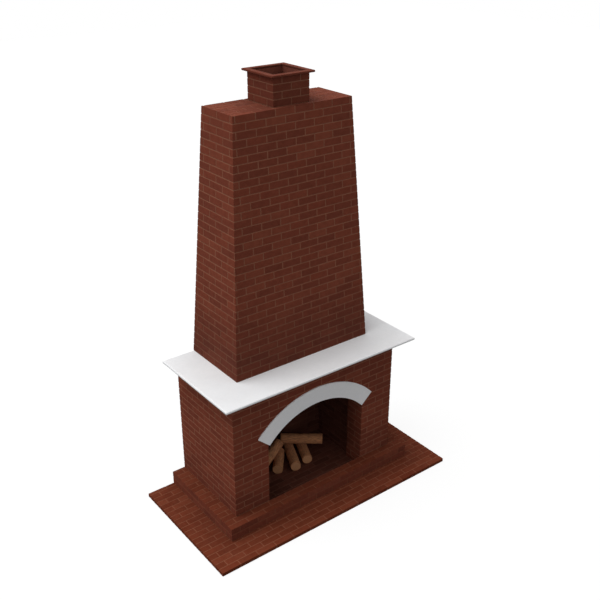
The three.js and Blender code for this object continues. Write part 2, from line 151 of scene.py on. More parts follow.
FLOOR_GREY = 0.16
FLOOR_GLOW = 0.86
floor_paint = bpy.data.materials.new("studio_floor")
floor_paint.use_nodes = True
tree = floor_paint.node_tree
tree.nodes.clear()
matt = put(tree, "ShaderNodeBsdfDiffuse", {"Color": (FLOOR_GREY, FLOOR_GREY, FLOOR_GREY, 1)})
to_camera = put(tree, "ShaderNodeLightPath").outputs["Is Camera Ray"]
glow_strength = put(tree, "ShaderNodeMath", {0: to_camera, 1: FLOOR_GLOW}, operation="MULTIPLY")
glow = put(tree, "ShaderNodeEmission", {"Strength": glow_strength.outputs[0]})
both = put(tree, "ShaderNodeAddShader", {0: matt.outputs[0], 1: glow.outputs[0]})
put(tree, "ShaderNodeOutputMaterial", {"Surface": both.outputs[0]})
floor_mesh.materials.append(floor_paint)
print("floor", 2 * FLOOR_HALF, "m square")

# %% [markdown]
# ## Levels and edges of the masonry
#
# Each wall's bricks are set out from the solid that they dress. Reading the edges from the solids keeps
# the bricks right if the fireplace is built a little wider or taller.

# %% Where the walls stand
def low(node):
    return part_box(node)[0]


def high(node):
    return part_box(node)[1]


hearth_side, back_plane, hearth_top = high("hearth_slab")
hearth_front = low("hearth_slab").y
plinth_side, plinth_front, plinth_top = high("plinth_right").x, low("plinth_front").y, high("plinth_front").z
body_side, body_top = high("back_wall").x, high("back_wall").z
body_front = low("front_pier_left").y
pier_back = high("front_pier_left").y
back_wall_front = low("back_wall").y
jamb = low("front_pier_right").x
springing = high("front_pier_left").z
backing_side = high("backing_right").x
firebox_side = low("lining_right").x
floor_top = high("firebox_floor").z
fireback_front, fireback_top = low("fireback").y, high("fireback").z
slope_top_front, throat_seat = low("fireback_slope").y, high("fireback_slope").z
lining_top = high("lining_left").z
mantel_top = high("mantel_slab").z
cap_base, breast_top = low("breast_cap").z, high("breast_cap").z
stack_side, stack_top = high("flue_stack").x, high("flue_stack").z
flue_axis = (low("flue_stack").y + high("flue_stack").y) / 2
print("body", body_side, "plinth", plinth_side, "hearth", hearth_side, "flue axis", round(flue_axis, 4))

# %% [markdown]
# ## Flat faces of brickwork
#
# A wall face is set out as a bricklayer reads it: distance to the right, height up, and how far a point
# lies in from the face. The same three numbers then work on upright walls, on paving and on the leaning
# faces of the chimney breast.

# %% A face with its own directions
SAME_PLANE = 1e-4


class Face:
    def __init__(self, origin, right, up):
        self.origin = Vector(origin)
        self.right = Vector(right).normalized()
        self.up = Vector(up).normalized()
        self.out = self.right.cross(self.up)

    def point(self, across, along, inward=0):
        return self.origin + self.right * across + self.up * along - self.out * inward

    def holds(self, point):
        return abs((point - self.origin).dot(self.out)) < SAME_PLANE


print("a front face looks towards", tuple(Face((0, 0, 0), (1, 0, 0), (0, 0, 1)).out))

# %% [markdown]
# ## Bond
#
# The walls are in running bond: each course is shifted by half a brick. The bricks are set out as
# rectangles with a joint all round, and then cut to the outline of the wall. A boolean could cut them in
# 3-D, but cutting the flat outlines first is quicker and leaves clean edges. Blender's constrained
# triangulation does it: it takes all rectangles and outlines at once, and says which triangle lies in which.
# The triangles of one brick are then joined again to its outline.

# %% Set out a running bond and cut it to the outline
BRICK = 0.2032
ROW = 0.0677
JOINT = 0.009
SAME_PLACE = 1e-6


def set_out(outline, length, course, start=0, first_bed=0):
    """Rectangles (course number, corners) of a running bond over the outline's extent."""
    lefts = min(p[0] for p in outline), max(p[0] for p in outline)
    levels = min(p[1] for p in outline), max(p[1] for p in outline)
    bricks = []
    first_row = math.floor((levels[0] - first_bed) / course)
    last_row = math.ceil((levels[1] - first_bed) / course)
    for row in range(first_row, last_row + 1):
        bottom = first_bed + row * course + JOINT / 2
        top = bottom + course - JOINT
        shift = start + (row % 2) * length / 2
        column = math.floor((lefts[0] - shift) / length)
        while shift + column * length < lefts[1]:
            left = shift + column * length + JOINT / 2
            right = left + length - JOINT
            bricks.append((row, [(left, bottom), (right, bottom), (right, top), (left, top)]))
            column += 1
    return bricks


def rims(triangles):
    """The outlines of the areas that some triangles fill."""
    sides = {(one[i - 1], one[i]) for one in triangles for i in range(3)}
    follows = {a: b for a, b in sides if (b, a) not in sides}
    found = []
    while follows:
        start, here = follows.popitem()
        rim = [start]
        while here != start:
            rim.append(here)
            here = follows.pop(here)
        found.append(rim)
    return found


def cut_to(outline, holes, bricks):
    """The parts of the bricks inside the outline and outside the holes, as (row, points)."""
    loops = [corners for _, corners in bricks] + [outline] + holes
    points, faces = [], []
    for loop in loops:
        faces.append(list(range(len(points), len(points) + len(loop))))
        points += [Vector(p) for p in loop]
    places, _, triangles, _, _, sources = delaunay_2d_cdt(points, [], faces, 1, SAME_PLACE, True)
    outline_id = len(bricks)
    kept = {}
    for triangle, inside in zip(triangles, sources):
        brick = min(inside, default=outline_id)
        if brick < outline_id and max(inside) == outline_id:
            kept.setdefault(brick, []).append(triangle)
    pieces = []
    for brick, parts in sorted(kept.items()):
        for rim in rims(parts):
            pieces.append((bricks[brick][0], [places[i].copy() for i in rim]))
    return pieces


sample = [(0, 0), (1, 0), (1, 0.5), (0, 0.5)]
print("bricks in a square metre's half:", len(cut_to(sample, [], set_out(sample, BRICK, ROW))))

# %% [markdown]
# ## One brick
#
# Only a brick's face and its first few millimetres show, so each brick is a thin closed block let into the
# mortar. Its arrises are eased, its edges waver by half a millimetre as fired clay does, and it may sit a
# little back from its neighbours. At the corner of a wall the two faces meet in a mitre, so the arris is
# whole. A texture alone could paint the joints, but then no light would catch in them.

# %% Edges of a brick
ARRIS = 0.0015
ARRIS_DEPTH = 0.8 * ARRIS
RECESS = 0.0020
BEDDING = 0.0045
SET_BACK = 0.0006
WAVER = 0.0006
WAVER_PITCH = 0.06
ON_THE_LINE = 2e-5
NEARLY_STRAIGHT = 0.15


def edge_kinds(points, borders):
    """Each edge of a cut brick: 'joint', or the kind of the outline edge that it lies on."""
    kinds = []
    for i, here in enumerate(points):
        middle = (here + points[(i + 1) % len(points)]) / 2
        kind = "joint"
        for a, b, border_kind in borders:
            run = b - a
            share = max(0, min(1, (middle - a).dot(run) / run.length_squared))
            if (a + run * share - middle).length < ON_THE_LINE:
                kind = border_kind
        kinds.append(kind)
    return kinds


def waver(points, kinds, chance):
    """Splits long joint edges and moves their points a little, as on hand-made bricks."""
    out_points, out_kinds = [], []
    for i, here in enumerate(points):
        after = points[(i + 1) % len(points)]
        free = kinds[i] == "joint" and kinds[i - 1] == "joint"
        shake = Vector((chance.uniform(-WAVER, WAVER), chance.uniform(-WAVER, WAVER)))
        out_points.append(here + shake if free else here)
        out_kinds.append(kinds[i])
        parts = round((after - here).length / WAVER_PITCH) if kinds[i] == "joint" else 1
        for part in range(1, parts):
            across = Vector((here.y - after.y, after.x - here.x)).normalized()
            step = here.lerp(after, part / parts)
            out_points.append(step + across * chance.uniform(-WAVER, WAVER))
            out_kinds.append("joint")
    return out_points, out_kinds


def drawn_in(points, kinds, joint_inset, corner_inset):
    """The outline moved inwards, each edge by its own amount."""
    insets = {"joint": joint_inset, "corner": corner_inset, "flush": 0}
    result = []
    for i, here in enumerate(points):
        before, after = points[i - 1], points[(i + 1) % len(points)]
        one = Vector((before.y - here.y, here.x - before.x)).normalized()
        two = Vector((here.y - after.y, after.x - here.x)).normalized()
        inset_one, inset_two = insets[kinds[i - 1]], insets[kinds[i]]
        turn = one.x * two.y - one.y * two.x
        if abs(turn) < NEARLY_STRAIGHT:
            result.append(here + (one + two).normalized() * (inset_one + inset_two) / 2)
        else:
            x = (inset_one * two.y - inset_two * one.y) / turn
            y = (inset_two * one.x - inset_one * two.x) / turn
            result.append(here + Vector((x, y)))
    return result


print("arris", ARRIS, "recess of the mortar", RECESS)

# %% [markdown]
# Each brick also carries two numbers that its material reads: its own tone, from the place where it lies,
# and whether a facet is a worn arris. Corner bricks take their tone from the corner itself, so both faces
# of one brick have the same colour.

# %% Lay one brick into a mesh
TONES_PER_METRE = 50
WAVERS_PER_METRE = 200


def chance_at(what, place, per_metre):
    """Chance that is the same each time for the same place."""
    return random.Random(f"{what} " + " ".join(str(round(c * per_metre)) for c in place))


def tone_at(place):
    return chance_at("brick", place, TONES_PER_METRE).random()


def lay_brick(mesh, layers, face, points, kinds, material_index=0):
    middle = sum(points, Vector((0, 0))) / len(points)
    key = face.point(*middle)
    for i, kind in enumerate(kinds):
        if kind == "corner":
            key = face.point(*((points[i] + points[(i + 1) % len(points)]) / 2))
    chance = chance_at("waver", face.point(*middle), WAVERS_PER_METRE)
    tone = tone_at(key)
    set_back = 0 if "corner" in kinds else chance.uniform(0, SET_BACK)
    points, kinds = waver(points, kinds, chance)
    rings = []
    for inward, joint_inset in ((set_back, ARRIS), (set_back + ARRIS_DEPTH, 0), (BEDDING, 0)):
        ring = drawn_in(points, kinds, joint_inset, inward)
        rings.append([mesh.verts.new(face.point(p.x, p.y, inward)) for p in ring])
    count = len(points)
    facets = [(rings[0], 0)]
    for upper, lower, worn in ((rings[0], rings[1], 1), (rings[1], rings[2], 0)):
        for i in range(count):
            facets.append(([lower[i], lower[(i + 1) % count], upper[(i + 1) % count], upper[i]], worn))
    facets.append((rings[2][::-1], 0))
    for corners, worn in facets:
        facet = mesh.faces.new(corners)
        facet.material_index = material_index
        facet[layers["tone"]] = tone
        facet[layers["worn"]] = worn


print("tone of a brick at the origin:", round(tone_at(Vector((0, 0, 0))), 3))

# %% [markdown]
# ## The wall book
#
# The faces are entered in a book before any mesh is made. Each entry sets out its bricks and gives each
# brick to the solid that it lies on, so a bond runs on across two solids in one plane, such as a pier and
# the wall over it. The book also keeps which faces of a solid show, because only there the mortar is raked
# back behind the bricks.

# %% Enter a face of brickwork
SLIVER = 2.5 * ARRIS
book = {}


def enter(node):
    return book.setdefault(node, {"faces": [], "bricks": []})


def border_list(outline, kinds):
    points = [Vector(p) for p in outline]
    return [(points[i], points[(i + 1) % len(points)], kinds[i]) for i in range(len(points))]


def area_of(points):
    around = zip([points[-1]] + points[:-1], points)
    return abs(sum(one.x * two.y - two.x * one.y for one, two in around)) / 2


def brick_face(face, outline, kinds, bond, owner, shown_on, holes=()):
    """Sets out one face. holes is a list of (outline, kinds)."""
    borders = border_list(outline, kinds)
    for hole_outline, hole_kinds in holes:
        borders += border_list(hole_outline, hole_kinds)
    pieces = cut_to(outline, [hole for hole, _ in holes], set_out(outline, **bond))
    laid = 0
    for row, points in pieces:
        lengths = [(points[i] - points[i - 1]).length for i in range(len(points))]
        if area_of(points) < SLIVER * max(lengths):
            continue
        middle = sum(points, Vector((0, 0))) / len(points)
        enter(owner(face.point(*middle)))["bricks"].append((face, points, edge_kinds(points, borders)))
        laid += 1
    for node in shown_on:
        enter(node)["faces"].append(face)
    return laid


def rectangle(left, right, bottom, top):
    return [(left, bottom), (right, bottom), (right, top), (left, top)]


def only(node):
    return lambda place: node


print("the wall book is open")

# %% [markdown]
# ## Hearth
#
# The hearth is paved with bricks laid flat, long side along the front. The rows start at the front edge
# with whole bricks. The thin edge of the slab shows the same bricks from their sides, so its joints stand
# under the joints of the paving.

# %% Hearth paving and its edges
def fitted_length(width, bricks):
    """A brick's length with its joint, so that this many of them fill the width from end to end."""
    return (width + JOINT) / bricks


HEARTH_BRICKS = 14
hearth_length = fitted_length(2 * hearth_side, HEARTH_BRICKS)
paving = Face((0, hearth_front, hearth_top), (1, 0, 0), (0, 1, 0))
hearth_depth = back_plane - hearth_front
under_plinth = 0.010
covered = rectangle(
    -plinth_side + under_plinth,
    plinth_side - under_plinth,
    plinth_front - hearth_front + under_plinth,
    hearth_depth,
)
laid = brick_face(
    paving,
    rectangle(-hearth_side, hearth_side, 0, hearth_depth),
    ["corner"] * 4,
    {"length": hearth_length, "course": ROW, "start": -hearth_side - JOINT / 2, "first_bed": -JOINT / 2},
    only("hearth_slab"),
    ["hearth_slab"],
    [(covered, ["flush", "flush", "corner", "flush"])],
)

edge_kind = ["flush", "corner", "corner", "corner"]
slab_course = {"course": hearth_top + JOINT, "first_bed": -JOINT / 2}
front_edge = Face((0, hearth_front, 0), (1, 0, 0), (0, 0, 1))
back_edge = Face((0, back_plane, 0), (-1, 0, 0), (0, 0, 1))
for face in (front_edge, back_edge):
    laid += brick_face(
        face,
        rectangle(-hearth_side, hearth_side, 0, hearth_top),
        edge_kind,
        {"length": hearth_length, "start": -hearth_side - JOINT / 2, **slab_course},
        only("hearth_slab"),
        ["hearth_slab"],
    )
for side in (-1, 1):
    face = Face((side * hearth_side, hearth_front, 0), (0, side, 0), (0, 0, 1))
    span = sorted((0, side * hearth_depth))
    laid += brick_face(
        face,
        rectangle(*span, 0, hearth_top),
        edge_kind,
        {"length": ROW, "start": -side * JOINT / 2, **slab_course},
        only("hearth_slab"),
        ["hearth_slab"],
    )
print("hearth bricks:", laid)

# %% [markdown]
# ## Plinth
#
# Two courses stand on the hearth, with a cap of bricks laid flat as on the hearth. A course that starts
# with a whole brick on the front starts with the end of that brick round the corner, so the side faces are
# set out half a brick off.

# %% Plinth
PLINTH_BRICKS = 11
PLINTH_COURSES = 2
plinth_course = (plinth_top - hearth_top) / PLINTH_COURSES
plinth_length = fitted_length(2 * plinth_side, PLINTH_BRICKS)
plinth_bond = {"length": plinth_length, "course": plinth_course, "first_bed": JOINT / 2}
upright_kinds = ["flush", "corner", "corner", "corner"]


def plinth_owner(place):
    if place.y < body_front:
        return "plinth_front"
    if abs(place.x) < backing_side:
        return "plinth_back"
    return "plinth_left" if place.x < 0 else "plinth_right"


laid = 0
for y, right in ((plinth_front, 1), (back_plane, -1)):
    shown = ["plinth_front"] if right > 0 else ["plinth_left", "plinth_right", "plinth_back"]
    laid += brick_face(
        Face((0, y, hearth_top), (right, 0, 0), (0, 0, 1)),
        rectangle(-plinth_side, plinth_side, 0, plinth_top - hearth_top),
        upright_kinds,
        {**plinth_bond, "start": -plinth_side - JOINT / 2},
        plinth_owner,
        shown,
    )
for side, hand in ((-1, "left"), (1, "right")):
    corner = side * plinth_front
    laid += brick_face(
        Face((side * plinth_side, 0, hearth_top), (0, side, 0), (0, 0, 1)),
        rectangle(*sorted((corner, side * back_plane)), 0, plinth_top - hearth_top),
        upright_kinds,
        {**plinth_bond, "start": corner - side * JOINT / 2 + plinth_length / 2},
        plinth_owner,
        ["plinth_front", f"plinth_{hand}"],
    )

under_wall = body_side - under_plinth
plinth_hole = [
    (-under_wall, body_front - plinth_front),
    (-jamb, body_front - plinth_front),
    (jamb, body_front - plinth_front),
    (under_wall, body_front - plinth_front),
    (under_wall, back_plane - plinth_front),
    (-under_wall, back_plane - plinth_front),
]
laid += brick_face(
    Face((0, plinth_front, plinth_top), (1, 0, 0), (0, 1, 0)),
    rectangle(-plinth_side, plinth_side, 0, back_plane - plinth_front),
    ["corner"] * 4,
    {"length": plinth_length, "course": ROW, "start": -plinth_side - JOINT / 2, "first_bed": -JOINT / 2},
    plinth_owner,
    ["plinth_front", "plinth_left", "plinth_right"],
    [(plinth_hole, ["flush", "corner", "flush", "flush", "corner", "flush"])],
)
print("plinth bricks:", laid)

# %% [markdown]
# Behind the kerb the floor of the firebox lies lower, so the kerb's inner face and the two faces under the
# jambs show as well.

# %% Kerb and jamb bases, inside
JAMB_SHIFT = 0.02
laid = brick_face(
    Face((0, body_front, hearth_top), (-1, 0, 0), (0, 0, 1)),
    rectangle(-jamb, jamb, 0, plinth_top - hearth_top),
    ["flush", "flush", "corner", "flush"],
    plinth_bond,
    only("plinth_front"),
    ["plinth_front"],
)
for side, hand in ((-1, "left"), (1, "right")):
    face = Face((side * jamb, 0, hearth_top), (0, -side, 0), (0, 0, 1))
    laid += brick_face(
        face,
        rectangle(*sorted((-side * body_front, -side * pier_back)), 0, plinth_top - hearth_top),
        ["flush"] * 4,
        {"length": plinth_length, "course": plinth_course, "start": side * JAMB_SHIFT},
        only(f"plinth_jamb_{hand}"),
        [f"plinth_jamb_{hand}"],
    )
print("bricks inside the kerb:", laid)

# %% [markdown]
# ## Body
#
# The body is 9.5 bricks wide, so a course that begins with a whole brick on the left ends with a half on
# the right. The front face is set out as if the opening weren't there; then the opening and the pocket of
# the stone arch are cut from it as one hole.

# %% Outline of the opening and the arch's pocket
arch_points = [v.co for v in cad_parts["stone_arch"].data.vertices]
arch_crown = max(p.z for p in arch_points)
arch_end = max(arch_points, key=lambda p: p.x)
rise = arch_crown - arch_end.z
arch_radius = (arch_end.x**2 + rise**2) / (2 * rise)
arch_centre = arch_crown - arch_radius
arch_half_angle = math.asin(arch_end.x / arch_radius)
arch_gap = 0.0004
pocket_radius = arch_radius + arch_gap
pocket_angle = arch_half_angle + arch_gap / arch_radius
skewback_foot = arch_centre + jamb / math.tan(pocket_angle)
ARC_STEPS = 60


def pocket(base):
    """The hole from one jamb over the arch to the other, with heights from the plinth's top."""
    arc = []
    for step in range(ARC_STEPS + 1):
        angle = pocket_angle * (1 - 2 * step / ARC_STEPS)
        height = arch_centre + pocket_radius * math.cos(angle) - base
        arc.append((pocket_radius * math.sin(angle), height))
    return [(-jamb, 0), (jamb, 0), (jamb, skewback_foot - base)] + arc + [(-jamb, skewback_foot - base)]


print("arch radius", round(arch_radius, 4), "centre", round(arch_centre, 4))

# %% Body walls
BODY_BRICKS = 9.5
BODY_COURSES = 19
body_height = body_top - plinth_top
body_course = body_height / BODY_COURSES
body_length = fitted_length(2 * body_side, BODY_BRICKS)


def body_owner(place):
    hand = "left" if place.x < 0 else "right"
    if place.y > back_wall_front:
        return "back_wall"
    if place.y > pier_back:
        return f"side_wall_{hand}"
    return "front_spandrel" if place.z > springing else f"front_pier_{hand}"


wall_kinds = ["flush", "corner", "flush", "corner"]
opening = pocket(plinth_top)
opening_kinds = ["flush", "corner"] + ["flush"] * (len(opening) - 3) + ["corner"]
laid = brick_face(
    Face((0, body_front, plinth_top), (1, 0, 0), (0, 0, 1)),
    rectangle(-body_side, body_side, 0, body_height),
    wall_kinds,
    {"length": body_length, "course": body_course, "start": -body_side - JOINT / 2},
    body_owner,
    ["front_pier_left", "front_pier_right", "front_spandrel"],
    [(opening, opening_kinds)],
)
laid += brick_face(
    Face((0, back_plane, plinth_top), (-1, 0, 0), (0, 0, 1)),
    rectangle(-body_side, body_side, 0, body_height),
    wall_kinds,
    {"length": body_length, "course": body_course, "start": -body_side - JOINT / 2},
    body_owner,
    ["back_wall"],
)
for side, hand in ((-1, "left"), (1, "right")):
    corner = side * body_front
    half_first = body_length / 2 if side < 0 else 0
    laid += brick_face(
        Face((side * body_side, 0, plinth_top), (0, side, 0), (0, 0, 1)),
        rectangle(*sorted((corner, side * back_plane)), 0, body_height),
        wall_kinds,
        {"length": body_length, "course": body_course, "start": corner - side * JOINT / 2 + half_first},
        body_owner,
        [f"front_pier_{hand}", "front_spandrel", f"side_wall_{hand}", "back_wall"],
    )
print("body bricks:", laid)

# %% [markdown]
# The jambs of the opening are the ends of the front wall. Each shows one whole brick and a part in every
# course, and a narrow return towards the firebox.

# %% Jambs of the opening
laid = 0
for side, hand in ((-1, "left"), (1, "right")):
    reveal = Face((side * jamb, 0, plinth_top), (0, -side, 0), (0, 0, 1))
    laid += brick_face(
        reveal,
        rectangle(*sorted((-side * body_front, -side * pier_back)), 0, skewback_foot - plinth_top),
        wall_kinds,
        {"length": body_length, "course": body_course, "start": -side * body_front + side * JOINT / 2},
        only(f"front_pier_{hand}"),
        [f"front_pier_{hand}", "front_spandrel"],
    )
    back = Face((0, pier_back, plinth_top), (-1, 0, 0), (0, 0, 1))
    laid += brick_face(
        back,
        rectangle(*sorted((-side * jamb, -side * firebox_side)), 0, springing - plinth_top),
        ["flush"] * 4,
        {"length": body_length, "course": body_course, "start": 0},
        only(f"front_pier_{hand}"),
        [f"front_pier_{hand}"],
    )
print("jamb bricks:", laid)

# %% [markdown]
# ## Firebox
#
# The firebox is lined with firebricks in the same bond. The floor runs out between the jambs as far as the
# kerb, and over a low upright part the back leans forward to throw heat into the room.

# %% Firebox
floor_outline = [
    (-jamb, body_front),
    (jamb, body_front),
    (jamb, pier_back),
    (firebox_side, pier_back),
    (firebox_side, fireback_front),
    (-firebox_side, fireback_front),
    (-firebox_side, pier_back),
    (-jamb, pier_back),
]
laid = brick_face(
    Face((0, 0, floor_top), (1, 0, 0), (0, 1, 0)),
    floor_outline,
    ["flush"] * len(floor_outline),
    {"length": BRICK, "course": ROW, "first_bed": body_front - JOINT / 2},
    only("firebox_floor"),
    ["firebox_floor"],
)
for side, hand in ((-1, "left"), (1, "right")):
    laid += brick_face(
        Face((side * firebox_side, 0, hearth_top), (0, -side, 0), (0, 0, 1)),
        rectangle(*sorted((-side * pier_back, -side * back_wall_front)), 0, lining_top - hearth_top),
        ["flush"] * 4,
        {"length": BRICK, "course": ROW},
        only(f"lining_{hand}"),
        [f"lining_{hand}"],
    )
fireback_side = high("fireback").x
laid += brick_face(
    Face((0, fireback_front, hearth_top), (1, 0, 0), (0, 0, 1)),
    rectangle(-fireback_side, fireback_side, 0, fireback_top - hearth_top),
    ["flush"] * 4,
    {"length": BRICK, "course": ROW, "start": BRICK / 4},
    only("fireback"),
    ["fireback"],
)
slope = Vector((0, slope_top_front - fireback_front, throat_seat - fireback_top))
slope_bed = ROW - (fireback_top - hearth_top) % ROW
laid += brick_face(
    Face((0, fireback_front, fireback_top), (1, 0, 0), slope),
    rectangle(-fireback_side, fireback_side, 0, slope.length),
    ["flush"] * 4,
    {"length": BRICK, "course": ROW, "start": BRICK / 4, "first_bed": slope_bed},
    only("fireback_slope"),
    ["fireback_slope"],
)
print("firebricks:", laid)

# %% [markdown]
# ## Chimney breast
#
# The four walls of the breast lean in, so a course gets shorter from one to the next and the bricks at its
# ends are cut to the slope. The courses are measured along the slope, and the last one is the cap.

# %% Chimney breast
BREAST_COURSES = 35
breast_low, breast_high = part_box("breast_front")
base_side, base_front, base_back = breast_high.x, breast_low.y, high("breast_back").y
top_face = [v.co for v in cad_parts["breast_cap"].data.vertices if v.co.z > breast_top - SAME_PLANE]
top_side = max(p.x for p in top_face)
top_front, top_back = min(p.y for p in top_face), max(p.y for p in top_face)
rise = breast_top - mantel_top


def thickness(node, level):
    """How thick a wall is from front to back where its corners lie at this level."""
    places = [v.co.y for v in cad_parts[node].data.vertices if abs(v.co.z - level) < SAME_PLANE]
    return max(places) - min(places)


def breast_owner(place):
    if place.z > cap_base:
        return "breast_cap"
    share = (place.z - mantel_top) / rise
    outer = (base_back - base_front) / 2 * (1 - share) + (top_back - top_front) / 2 * share
    share = (place.z - mantel_top) / (cap_base - mantel_top)
    wall = thickness("breast_front", mantel_top) * (1 - share) + thickness("breast_front", cap_base) * share
    if abs(place.y - flue_axis) < outer - wall:
        return "breast_left" if place.x < 0 else "breast_right"
    return "breast_front" if place.y < flue_axis else "breast_back"


def leaning_face(middle, right, up, base_half, top_half, shown_on):
    run = Vector(up).length
    outline = [(-base_half, 0), (base_half, 0), (top_half, run), (-top_half, run)]
    bond = {"length": BRICK, "course": run / BREAST_COURSES, "first_bed": JOINT / 2, "start": 0}
    kinds = ["flush", "corner", "corner", "corner"]
    return brick_face(Face(middle, right, up), outline, kinds, bond, breast_owner, shown_on + ["breast_cap"])


base_half_depth, top_half_depth = (base_back - base_front) / 2, (top_back - top_front) / 2
laid = 0
for base, top, right, node in (
    (base_front, top_front, 1, "breast_front"),
    (base_back, top_back, -1, "breast_back"),
):
    foot = (0, base, mantel_top)
    laid += leaning_face(foot, (right, 0, 0), (0, top - base, rise), base_side, top_side, [node])
for side, hand in ((-1, "left"), (1, "right")):
    laid += leaning_face(
        (side * base_side, flue_axis, mantel_top),
        (0, side, 0),
        (side * (top_side - base_side), 0, rise),
        base_half_depth,
        top_half_depth,
        ["breast_front", "breast_back", f"breast_{hand}"],
    )

STACK_GAP = 0.002
stack_hole = stack_side + STACK_GAP
laid += brick_face(
    Face((0, flue_axis, breast_top), (1, 0, 0), (0, 1, 0)),
    rectangle(-top_side, top_side, -top_half_depth, top_half_depth),
    ["corner"] * 4,
    {"length": BRICK, "course": ROW, "first_bed": -top_half_depth - JOINT / 2},
    only("breast_cap"),
    ["breast_cap"],
    [(rectangle(-stack_hole, stack_hole, -stack_hole, stack_hole), ["flush"] * 4)],
)
print("breast bricks:", laid)

# %% [markdown]
# ## Stack
#
# The last flue tile comes out of the breast in a thin skin of brick, two bricks wide and four courses high.

# %% Stack
STACK_BRICKS = 2
STACK_COURSES = 4
stack_course = (stack_top - breast_top) / STACK_COURSES
stack_length = fitted_length(2 * stack_side, STACK_BRICKS)
laid = 0
for index, right in enumerate(((1, 0), (0, 1), (-1, 0), (0, -1))):
    out = Vector((right[1], -right[0], 0))
    start = -stack_side - JOINT / 2 + index % 2 * stack_length / 2
    laid += brick_face(
        Face(Vector((0, flue_axis, breast_top)) + out * stack_side, (*right, 0), (0, 0, 1)),
        rectangle(-stack_side, stack_side, 0, stack_top - breast_top),
        wall_kinds,
        {"length": stack_length, "course": stack_course, "start": start},
        only("flue_stack"),
        ["flue_stack"],
    )
print("stack bricks:", laid)

# %% [markdown]
# ## Shared surface effects
#
# Brick, stone, mortar and iron all need the same few effects: fine grain, larger patches, soot and dust.
# Each is a node group with named sockets, built once and placed in a material with its own values. A group
# gives only masks and heights; the shader itself stays in the material.

# %% A short way to start a group and to place it
def start_group(name, inputs, outputs):
    group = bpy.data.node_groups.new(name, "ShaderNodeTree")
    for socket, kind, value in inputs:
        made = group.interface.new_socket(socket, in_out="INPUT", socket_type=kind)
        if value is not None:
            made.default_value = value
    for socket in outputs:
        group.interface.new_socket(socket, in_out="OUTPUT", socket_type="NodeSocketFloat")
    return group, put(group, "NodeGroupInput"), put(group, "NodeGroupOutput")


def place(tree, group, inputs):
    return put(tree, "ShaderNodeGroup", inputs, node_tree=group)


def reckon(tree, kind, one, two=0.0):
    return put(tree, "ShaderNodeMath", {0: one, 1: two}, operation=kind).outputs[0]


print("group helpers ready")

# %% [markdown]
# Grain is the sand of a brick or mortar: a height for the bump, and flecks where a dark grain of iron or a
# pale grain of sand lies in the face. Its size is given in metres, so it stays right on any piece.

# %% Group: grain
grain, grain_in, grain_out = start_group(
    "grain",
    [
        ("Vector", "NodeSocketVector", None),
        ("Size", "NodeSocketFloat", 0.003),
        ("Fleck Share", "NodeSocketFloat", 0.2),
    ],
    ["Height", "Flecks"],
)
FLECKS_TO_SAND = 0.6
WIDEST_FLECK = 1.4
per_metre = reckon(grain, "DIVIDE", 1, grain_in.outputs["Size"])
sand = put(
    grain,
    "ShaderNodeTexNoise",
    {"Vector": grain_in.outputs["Vector"], "Scale": per_metre, "Detail": 3, "Roughness": 0.65},
)
fleck_scale = reckon(grain, "MULTIPLY", per_metre, FLECKS_TO_SAND)
spots = put(grain, "ShaderNodeTexVoronoi", {"Vector": grain_in.outputs["Vector"], "Scale": fleck_scale})
fleck_edge = reckon(grain, "MULTIPLY", grain_in.outputs["Fleck Share"], WIDEST_FLECK)
flecks = put(
    grain,
    "ShaderNodeMapRange",
    {"Value": spots.outputs["Distance"], "From Min": 0, "From Max": fleck_edge, "To Min": 1, "To Max": 0},
)
grain.links.new(sand.outputs["Fac"], grain_out.inputs["Height"])
grain.links.new(flecks.outputs[0], grain_out.inputs["Flecks"])
print("group", grain.name)

# %% [markdown]
# Patches are the slow changes: a cloud of darker and lighter that runs over many bricks or along a slab.

# %% Group: patches
patches, patches_in, patches_out = start_group(
    "patches", [("Vector", "NodeSocketVector", None), ("Size", "NodeSocketFloat", 0.3)], ["Value"]
)
per_metre = reckon(patches, "DIVIDE", 1, patches_in.outputs["Size"])
cloud = put(
    patches,
    "ShaderNodeTexNoise",
    {"Vector": patches_in.outputs["Vector"], "Scale": per_metre, "Detail": 4, "Roughness": 0.55},
)
spread = put(patches, "ShaderNodeMapRange", {"Value": cloud.outputs["Fac"], "From Min": 0.3, "From Max": 0.7})
patches.links.new(spread.outputs[0], patches_out.inputs["Value"])
print("group", patches.name)

# %% [markdown]
# Soot darkens what the fire and the smoke touch: more and more from the mouth inwards, less on the floor,
# where ash is swept and logs are dragged, and most of all in the flue, from just under its rim. The group
# works from where a point lies in the fireplace, so the walls outside stay clean.

# %% Group: soot
soot, soot_in, soot_out = start_group(
    "soot",
    [
        ("Vector", "NodeSocketVector", None),
        ("Fire Soot", "NodeSocketFloat", 0.36),
        ("Floor Share", "NodeSocketFloat", 0.25),
        ("Flue Soot", "NodeSocketFloat", 0.9),
    ],
    ["Mask"],
)


def soot_range(value, start, end, low_value=0.0, high_value=1.0):
    ranges = {"Value": value, "From Min": start, "From Max": end, "To Min": low_value, "To Max": high_value}
    return put(soot, "ShaderNodeMapRange", ranges).outputs[0]


